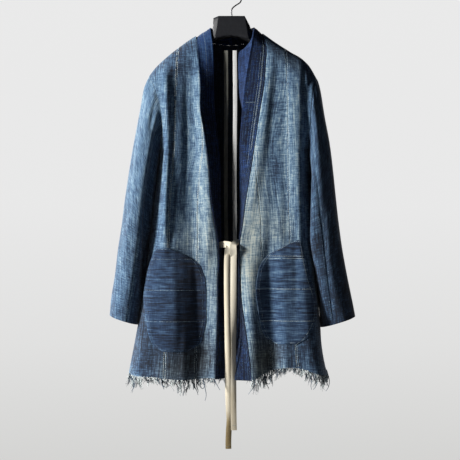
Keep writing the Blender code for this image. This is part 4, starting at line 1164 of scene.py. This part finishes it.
def build_wisps(finish):
    """The few long threads that hang lowest, each a fine tapered tube."""
    t = np.linspace(0, 1, WISP_POINTS)
    corner = np.radians(np.arange(0, 360, 72))
    cos, sin = (f(corner)[None, :, None] for f in (np.cos, np.sin))
    verts, tone = [], []
    for side, pale, path in WISPS:
        x, z = curves(path, t * (len(path) - 1))
        root = cloth_y(side, FRONT, 0.96 * path[0][0] + 0 * t, path[0][1] + 6 + 0 * t)
        line = xyz(x, root + 1 - 2.5 * np.sin(3 * t), z)
        ahead = unit(np.gradient(line, axis=0))
        across = unit(np.cross(ahead, [0, 1, 0]))
        up = np.cross(across, ahead)
        thick = (1.15 - 0.6 * t)[:, None, None]
        ring = line[:, None] + thick * (across[:, None] * cos + up[:, None] * sin)
        verts.append(ring.reshape(-1, 3))
        tone.append(np.full(len(t) * len(corner), pale))
    verts = np.concatenate(verts)
    faces = tube_faces(len(WISPS), len(t), len(corner))
    tone = tones(np.concatenate(tone))
    add_piece("fringe_long_threads", verts, faces, finish, verts * MM, tone, sharp=0)


def ribbon(name, points, wide, thin, finish, nodes, cup, tone, half):
    """Flat tape along points: wide and thin are its cross directions, cup bows it."""
    u = np.linspace(-1, 1, 9)[None, :, None]
    bow = np.asarray(cup)[:, None, None] * (u * u - 0.4)
    middle = points[:, None, :] + wide[:, None, :] * u * half + thin[:, None, :] * bow
    along = run_across(points[None])[0]
    normals = unit(np.cross(np.gradient(middle, axis=1), np.gradient(middle, axis=0)))
    swell = 0.5 * TAPE_THICKNESS * np.sqrt(1 - 0.6 * u * u)
    weave = xyz(u[..., 0] * half * MM, along[:, None] * MM, 0.3)
    light = tones(tone + np.zeros(weave.shape[:2]))
    swell = normals * swell
    return shell(name, middle + swell, middle - swell, weave, (light, light), finish, nodes)


def build_tapes(tape, thread):
    """The two hanging ends of the tie, each with a sewn row near its bare end."""
    half = 0.5 * TAPE_WIDTH
    for side, rows in TAPES.items():
        cups, tone, low, share = TAPE_LOOKS[side]
        x, y, z, turn = curves(rows, np.linspace(0, len(rows) - 1, 240))
        a = np.radians(turn)
        points = xyz(x, y, z)
        wide = xyz(np.cos(a), np.sin(a), 0)
        thin = xyz(-np.sin(a), np.cos(a), 0)
        cup = np.interp(-z, np.linspace(-KNOT_Z, -KNOT_Z + (z[0] - z[-1]), len(cups)), cups)
        name = f"tie_tape_{WORDS[side]}"
        # Painted shade darkens the lower end of each tape towards brown
        tone_with_shaded_end = tone - share * np.clip((low - z) / 40, 0, 1)[:, None]
        obj = ribbon(f"{name}_cloth", points, wide, thin, tape, (name,), cup, tone_with_shaded_end, half)
        mark = len(points) - 8
        across = points[mark] + np.linspace(-0.85, 0.85, 9)[:, None] * wide[mark] * half
        for face, way in (("a", 1), ("b", -1)):
            line = across + way * thin[mark] * (0.5 * TAPE_THICKNESS + 0.15)
            lines = [(line, np.tile(way * thin[mark], (9, 1)))]
            row = stitches(f"tape_{WORDS[side]}_hem_{face}", lines, thread, seed=1, length=1.7,
                           gap=0.5, width=0.35, lift=0.15, worn=0)
            row.parent = obj
            row["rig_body"] = "root"


def build_knot(tape):
    """Strands of the tape, lying over each other where they are tied."""
    for word, rows in KNOT_STRANDS.items():
        *line, half, turn = curves(rows, np.linspace(0, len(rows) - 1, 40))
        points, turn = xyz(*line), np.radians(turn)
        forward = unit(np.gradient(points, axis=0))
        across = unit(np.cross(forward, [0, -1, 0]))
        thick = unit(np.cross(across, forward))
        wide = across * np.cos(turn)[:, None] + thick * np.sin(turn)[:, None]
        thin = thick * np.cos(turn)[:, None] - across * np.sin(turn)[:, None]
        nodes = ("tie_knot",) if word == "left" else ()
        ribbon(f"knot_{word}", points, wide * (half / half.max())[:, None], thin, tape, nodes,
               np.full(40, 0.8), 0.86, float(half.max()))


def loft(name, rings, finish, node, sharp=50):
    """Closed body through rings of points, with flat ends."""
    rings = np.asarray(rings, float)
    m, n = rings.shape[:2]
    sides = list(outward(rings, grid_quads(m, n, wrap=True)))
    ends = [range(n)[::-1], range((m - 1) * n, m * n)]
    add_piece(name, rings, sides + ends, finish, rings * MM, None, (node,), sharp)


def build_hanger(finish):
    """Hanger body: slim arms and a thick block with flat faces at the middle."""
    table = np.array(HANGER, float)
    x = np.unique(np.concatenate([table[:, 0], np.linspace(table[0, 0], table[-1, 0], 150)]))
    angle = 2 * math.pi * (np.arange(48) + 0.5) / 48
    rings = []
    for at in x:
        top, low, half = line_at(table[:, 1:], table[:, 0], at)
        power = 1 - 0.78 * min(max((half - 11) / 6, 0), 1)
        c, s = (np.sign(f(angle)) * np.abs(f(angle)) ** power for f in (np.cos, np.sin))
        spread = 10 * np.sign(at) * max(0, 1 - abs(abs(at) - BLOCK_HALF) / 14)
        shift = spread * (0.5 - 0.5 * c) * np.clip(-s, 0, 1)
        rings.append(xyz(at + shift, half * s, 0.5 * (top + low) + 0.5 * (top - low) * c))
    loft("hanger_body_finish", rings, finish, "hanger_body", sharp=30)


def build_hook(finish):
    """Wire hook, bent to a round top, with its threaded foot in the block."""
    line = list(HOOK_FOOT)
    middle_x, middle_z = HOOK_CENTRE
    for degrees in np.linspace(*HOOK_TURN, 20):
        a = math.radians(degrees)
        line.append((middle_x + HOOK_RADIUS * math.cos(a), middle_z + HOOK_RADIUS * math.sin(a)))
    x, z = curves(line, np.linspace(0, len(line) - 1, 150))
    points = xyz(x, 0, z)
    forward = unit(np.gradient(points, axis=0))
    side = xyz(-forward[:, 2], 0, forward[:, 0])
    angle = 2 * math.pi * np.arange(16) / 16
    radius = np.full(len(points), HOOK_WIRE)
    radius[-2:] = (0.85 * HOOK_WIRE, 0.45 * HOOK_WIRE)
    ring = side[:, None, :] * np.cos(angle)[None, :, None]
    ring = ring + np.array([0, 1, 0]) * np.sin(angle)[None, :, None]
    rings = points[:, None, :] + radius[:, None, None] * ring
    loft("hanger_hook_finish", rings, finish, "hanger_hook")


def add_node(tree, kind, inputs=None, **settings):
    node = tree.nodes.new(kind)
    for key, value in settings.items():
        setattr(node, key, value)
    for key, value in (inputs or {}).items():
        if isinstance(value, bpy.types.NodeSocket):
            tree.links.new(value, node.inputs[key])
        else:
            node.inputs[key].default_value = value
    return node


def maths(tree, operation, a, b=0, c=0):
    return add_node(tree, "ShaderNodeMath", {0: a, 1: b, 2: c}, operation=operation).outputs[0]


def noise(tree, at, stretch, detail=2):
    """Noise over the cloth coordinates, with its own scale across, along and by seed."""
    scaled = add_node(tree, "ShaderNodeVectorMath", {0: at, 1: stretch}, operation="MULTIPLY")
    made = add_node(tree, "ShaderNodeTexNoise",
                    {"Vector": scaled.outputs[0], "Scale": 1, "Detail": detail, "Roughness": 0.5})
    return maths(tree, "SUBTRACT", made.outputs["Fac"], 0.5)


def mix_colour(tree, factor, a, b):
    return add_node(tree, "ShaderNodeMix", {0: factor, 6: a, 7: b}, data_type="RGBA").outputs[2]


def ramp(tree, value, stops):
    node = add_node(tree, "ShaderNodeValToRGB", {"Fac": value})
    elements = node.color_ramp.elements
    elements[0].position, elements[0].color = stops[0][0], (*stops[0][1], 1)
    elements[1].position, elements[1].color = stops[-1][0], (*stops[-1][1], 1)
    for place_at, colour in stops[1:-1]:
        elements.new(place_at).color = (*colour, 1)
    return node.outputs["Color"]


def new_material(name):
    made = bpy.data.materials.new(name)
    made.use_nodes = True
    return made, made.node_tree


def set_surface(tree, colour, values, relief=None):
    """Joins colour and relief to the shader and sets its plain values."""
    shader = tree.nodes["Principled BSDF"]
    tree.links.new(colour, shader.inputs["Base Color"])
    for key, value in values.items():
        shader.inputs[key].default_value = value
    if relief:
        strength, distance, height = relief
        bump = add_node(tree, "ShaderNodeBump",
                        {"Strength": strength, "Distance": distance, "Height": height})
        tree.links.new(bump.outputs["Normal"], shader.inputs["Normal"])


def cloth_layers(tree):
    """Cloth coordinates, their two axes, and the pale, olive and painted shade amounts of a piece.
    """
    at = add_node(tree, "ShaderNodeAttribute", attribute_name="weave").outputs["Vector"]
    layer = add_node(tree, "ShaderNodeAttribute", attribute_name="tone").outputs["Color"]
    axes = add_node(tree, "ShaderNodeSeparateXYZ", {0: at}).outputs
    parts = add_node(tree, "ShaderNodeSeparateColor", {0: layer}).outputs
    return at, axes[0], axes[1], parts[0], parts[1], parts[2]


def woven(name, slot, stops, contrast, streaks=STREAKS, sheen=0.12, relief=0.5):
    """Hand-woven cloth: value follows its tone layer and streaks along warp and weft."""
    made, tree = new_material(name)
    at, across, along, total, olive, painted_shade = cloth_layers(tree)
    for scale_across, scale_along, amount, detail in streaks:
        part = noise(tree, at, (scale_across, scale_along, 1), detail)
        total = maths(tree, "MULTIPLY_ADD", part, amount * contrast, total)
    colour = ramp(tree, total, stops)
    bright = add_node(tree, "ShaderNodeRGBToBW", {0: colour}).outputs[0]
    stain = maths(tree, "MULTIPLY", olive, 0.85)
    colour = mix_colour(tree, stain, colour, ramp(tree, bright, STAINED))
    turns = 2 * math.pi / (WEAVE_PITCH * MM)
    warp = maths(tree, "SINE", maths(tree, "MULTIPLY", across, turns))
    weft = maths(tree, "SINE", maths(tree, "MULTIPLY", along, turns))
    slub = maths(tree, "MULTIPLY", noise(tree, at, (620, 60, 1), 1), 1.6)
    height = maths(tree, "MULTIPLY_ADD", maths(tree, "MULTIPLY", warp, weft), 0.25, slub)
    values = {"Roughness": 0.93, "Sheen Weight": sheen, "Sheen Roughness": 0.6,
              "Specular IOR Level": 0.18}
    # Inner faces are mixed towards near-black as painted shade
    set_surface(tree, mix_colour(tree, painted_shade, colour, PAINTED_SHADE_COLOUR), values, (relief, 0.0004, height))
    return made, slot


def tape_material():
    """Cream cotton tape with a fine chevron twill."""
    made, tree = new_material("cotton_tape_weave")
    at, across, along, tone, *_ = cloth_layers(tree)
    slant = maths(tree, "ADD", maths(tree, "ABSOLUTE", across), along)
    twill = maths(tree, "SINE", maths(tree, "MULTIPLY", slant, 2 * math.pi / (TWILL_PITCH * MM)))
    total = maths(tree, "MULTIPLY_ADD", noise(tree, at, (300, 40, 1)), 0.30, tone)
    total = maths(tree, "MULTIPLY_ADD", noise(tree, at, (40, 14, 1)), 0.22, total)
    total = maths(tree, "MULTIPLY_ADD", twill, 0.012, total)
    values = {"Roughness": 0.9, "Specular IOR Level": 0.2}
    set_surface(tree, ramp(tree, total, COTTON), values, (0.22, 0.0003, twill))
    return made


def hard_material(name, dark, light, roughness, metallic=0):
    """Painted or blackened surface with faint wear."""
    made, tree = new_material(name)
    at = add_node(tree, "ShaderNodeTexCoord").outputs["Object"]
    cloud = add_node(tree, "ShaderNodeTexNoise", {"Vector": at, "Scale": 160, "Detail": 4})
    cloud = cloud.outputs["Fac"]
    values = {"Roughness": roughness, "Metallic": metallic, "Specular IOR Level": 0.28}
    colour = ramp(tree, cloud, ((0.3, dark), (0.75, light)))
    set_surface(tree, colour, values, (0.15, 0.0003, cloud))
    return made


def area_light(name, at, toward, size, power, colour=(1, 1, 1)):
    data = bpy.data.lights.new(name, "AREA")
    data.shape = "DISK"
    data.size = size
    data.energy = power
    data.color = colour
    lamp = bpy.data.objects.new(name, data)
    lamp.location = at
    lamp.rotation_euler = (Vector(toward) - Vector(at)).to_track_quat("-Z", "Y").to_euler()
    lamp.visible_camera = False
    bpy.context.scene.collection.objects.link(lamp)
    return lamp


def light_the_studio():
    """Soft key from the left, weak lights behind, a plain backdrop shade and a pale floor."""
    centre = (0, 0, -0.60)
    area_light("key", (-3.52, -1.68, 0.28), centre, 0.9, 400, (1, 0.985, 0.96))
    inside = area_light("neck", (-1.7, -2.9, 0.35), (0, 0.04, -0.28), 0.5, 115)
    bindings = bpy.data.collections.new("bindings")
    inside.light_linking.receiver_collection = bindings
    for word in WORDS.values():
        bindings.objects.link(bpy.data.objects[f"binding_{word}_cloth"])
    area_light("behind_left", (-2.8, 2.5, 0.8), centre, 1.2, 120)
    area_light("behind_right", (1.3, 3.3, 0.9), centre, 1.4, 36)
    world = bpy.data.worlds.new("studio")
    world.use_nodes = True
    tree = world.node_tree
    at = add_node(tree, "ShaderNodeTexCoord").outputs["Generated"]
    height = add_node(tree, "ShaderNodeSeparateXYZ", {0: at}).outputs[2]
    share = add_node(tree, "ShaderNodeMapRange",
                     {"Value": height, "From Min": -0.17, "From Max": 0.17}).outputs[0]
    seen = add_node(tree, "ShaderNodeLightPath").outputs["Is Camera Ray"]
    shade = mix_colour(tree, seen, AMBIENT, ramp(tree, share, BACKDROP))
    tree.links.new(shade, tree.nodes["Background"].inputs["Color"])
    tree.nodes["Background"].inputs["Strength"].default_value = 1
    bpy.context.scene.world = world
    angle = 2 * math.pi * np.arange(96) / 96
    disc = xyz(FLOOR_RADIUS * np.cos(angle), FLOOR_RADIUS * np.sin(angle), FLOOR_Z)
    made, tree = new_material("floor_paint")
    cloud = add_node(tree, "ShaderNodeTexNoise", {"Scale": 3, "Detail": 3}).outputs["Fac"]
    set_surface(tree, ramp(tree, cloud, FLOOR), {"Roughness": 0.9})
    add_piece("floor", disc, [list(range(96))], (made, None))


def set_camera():
    data = bpy.data.cameras.new("camera")
    data.sensor_width = SENSOR_WIDTH
    data.lens = SENSOR_WIDTH * VIEW_DISTANCE / VIEW_WIDTH
    camera = bpy.data.objects.new("camera", data)
    camera.location = (VIEW_MIDDLE[0], -VIEW_DISTANCE, VIEW_MIDDLE[1])
    camera.rotation_euler = (math.radians(90), 0, 0)
    scene = bpy.context.scene
    scene.collection.objects.link(camera)
    scene.camera = camera
    scene.view_settings.view_transform = "Standard"
    scene.view_settings.look = "None"


def main():
    set_camera()
    cloth = woven("faded_indigo_weave", "faded_indigo_cloth", FADED, 1.9)
    dark = woven("dark_indigo_weave", "dark_indigo_cloth", DARK, 1.45, sheen=0.04, relief=0.4)
    pockets = {}
    for side, contrast in ((LEFT, 1.5), (RIGHT, 1.75)):
        name = f"pocket_{WORDS[side]}_indigo_weave"
        pockets[side] = woven(name, "dark_indigo_cloth", POCKET, contrast, POCKET_STREAKS)
    binding = woven("pale_binding_weave", "pale_binding", BINDING, 0.4, relief=0.3)
    threads, thread, dark_thread = (
        woven(name, slot, stops, contrast, THREAD_STREAKS, relief=0)
        for name, slot, stops, contrast in (
            ("frayed_threads", "faded_indigo_cloth", THREADS, 0.3),
            ("pale_sewing_thread", "pale_binding", SEWING, 0.4),
            ("dark_sewing_thread", "dark_indigo_cloth", FADED, 0.4),
        )
    )
    tape = (tape_material(), "cotton_tape")
    build_tapes(tape, dark_thread)
    build_knot(tape)
    for side in (LEFT, RIGHT):
        build_body(side, cloth, thread, threads)
        build_sleeve(side, cloth, thread)
        build_binding(side, binding)
        build_pocket(side, pockets[side], thread)
    build_wisps(threads)
    build_band(dark, dark_thread, thread)
    paint = hard_material("hanger_black_paint", (0.006, 0.0065, 0.009), (0.011, 0.012, 0.015), 0.55)
    build_hanger((paint, "hanger_black"))
    steel = hard_material("hook_dark_steel", (0.03, 0.03, 0.033), (0.05, 0.05, 0.053), 0.35, 0.8)
    build_hook((steel, "hook_wire"))
    light_the_studio()


main()
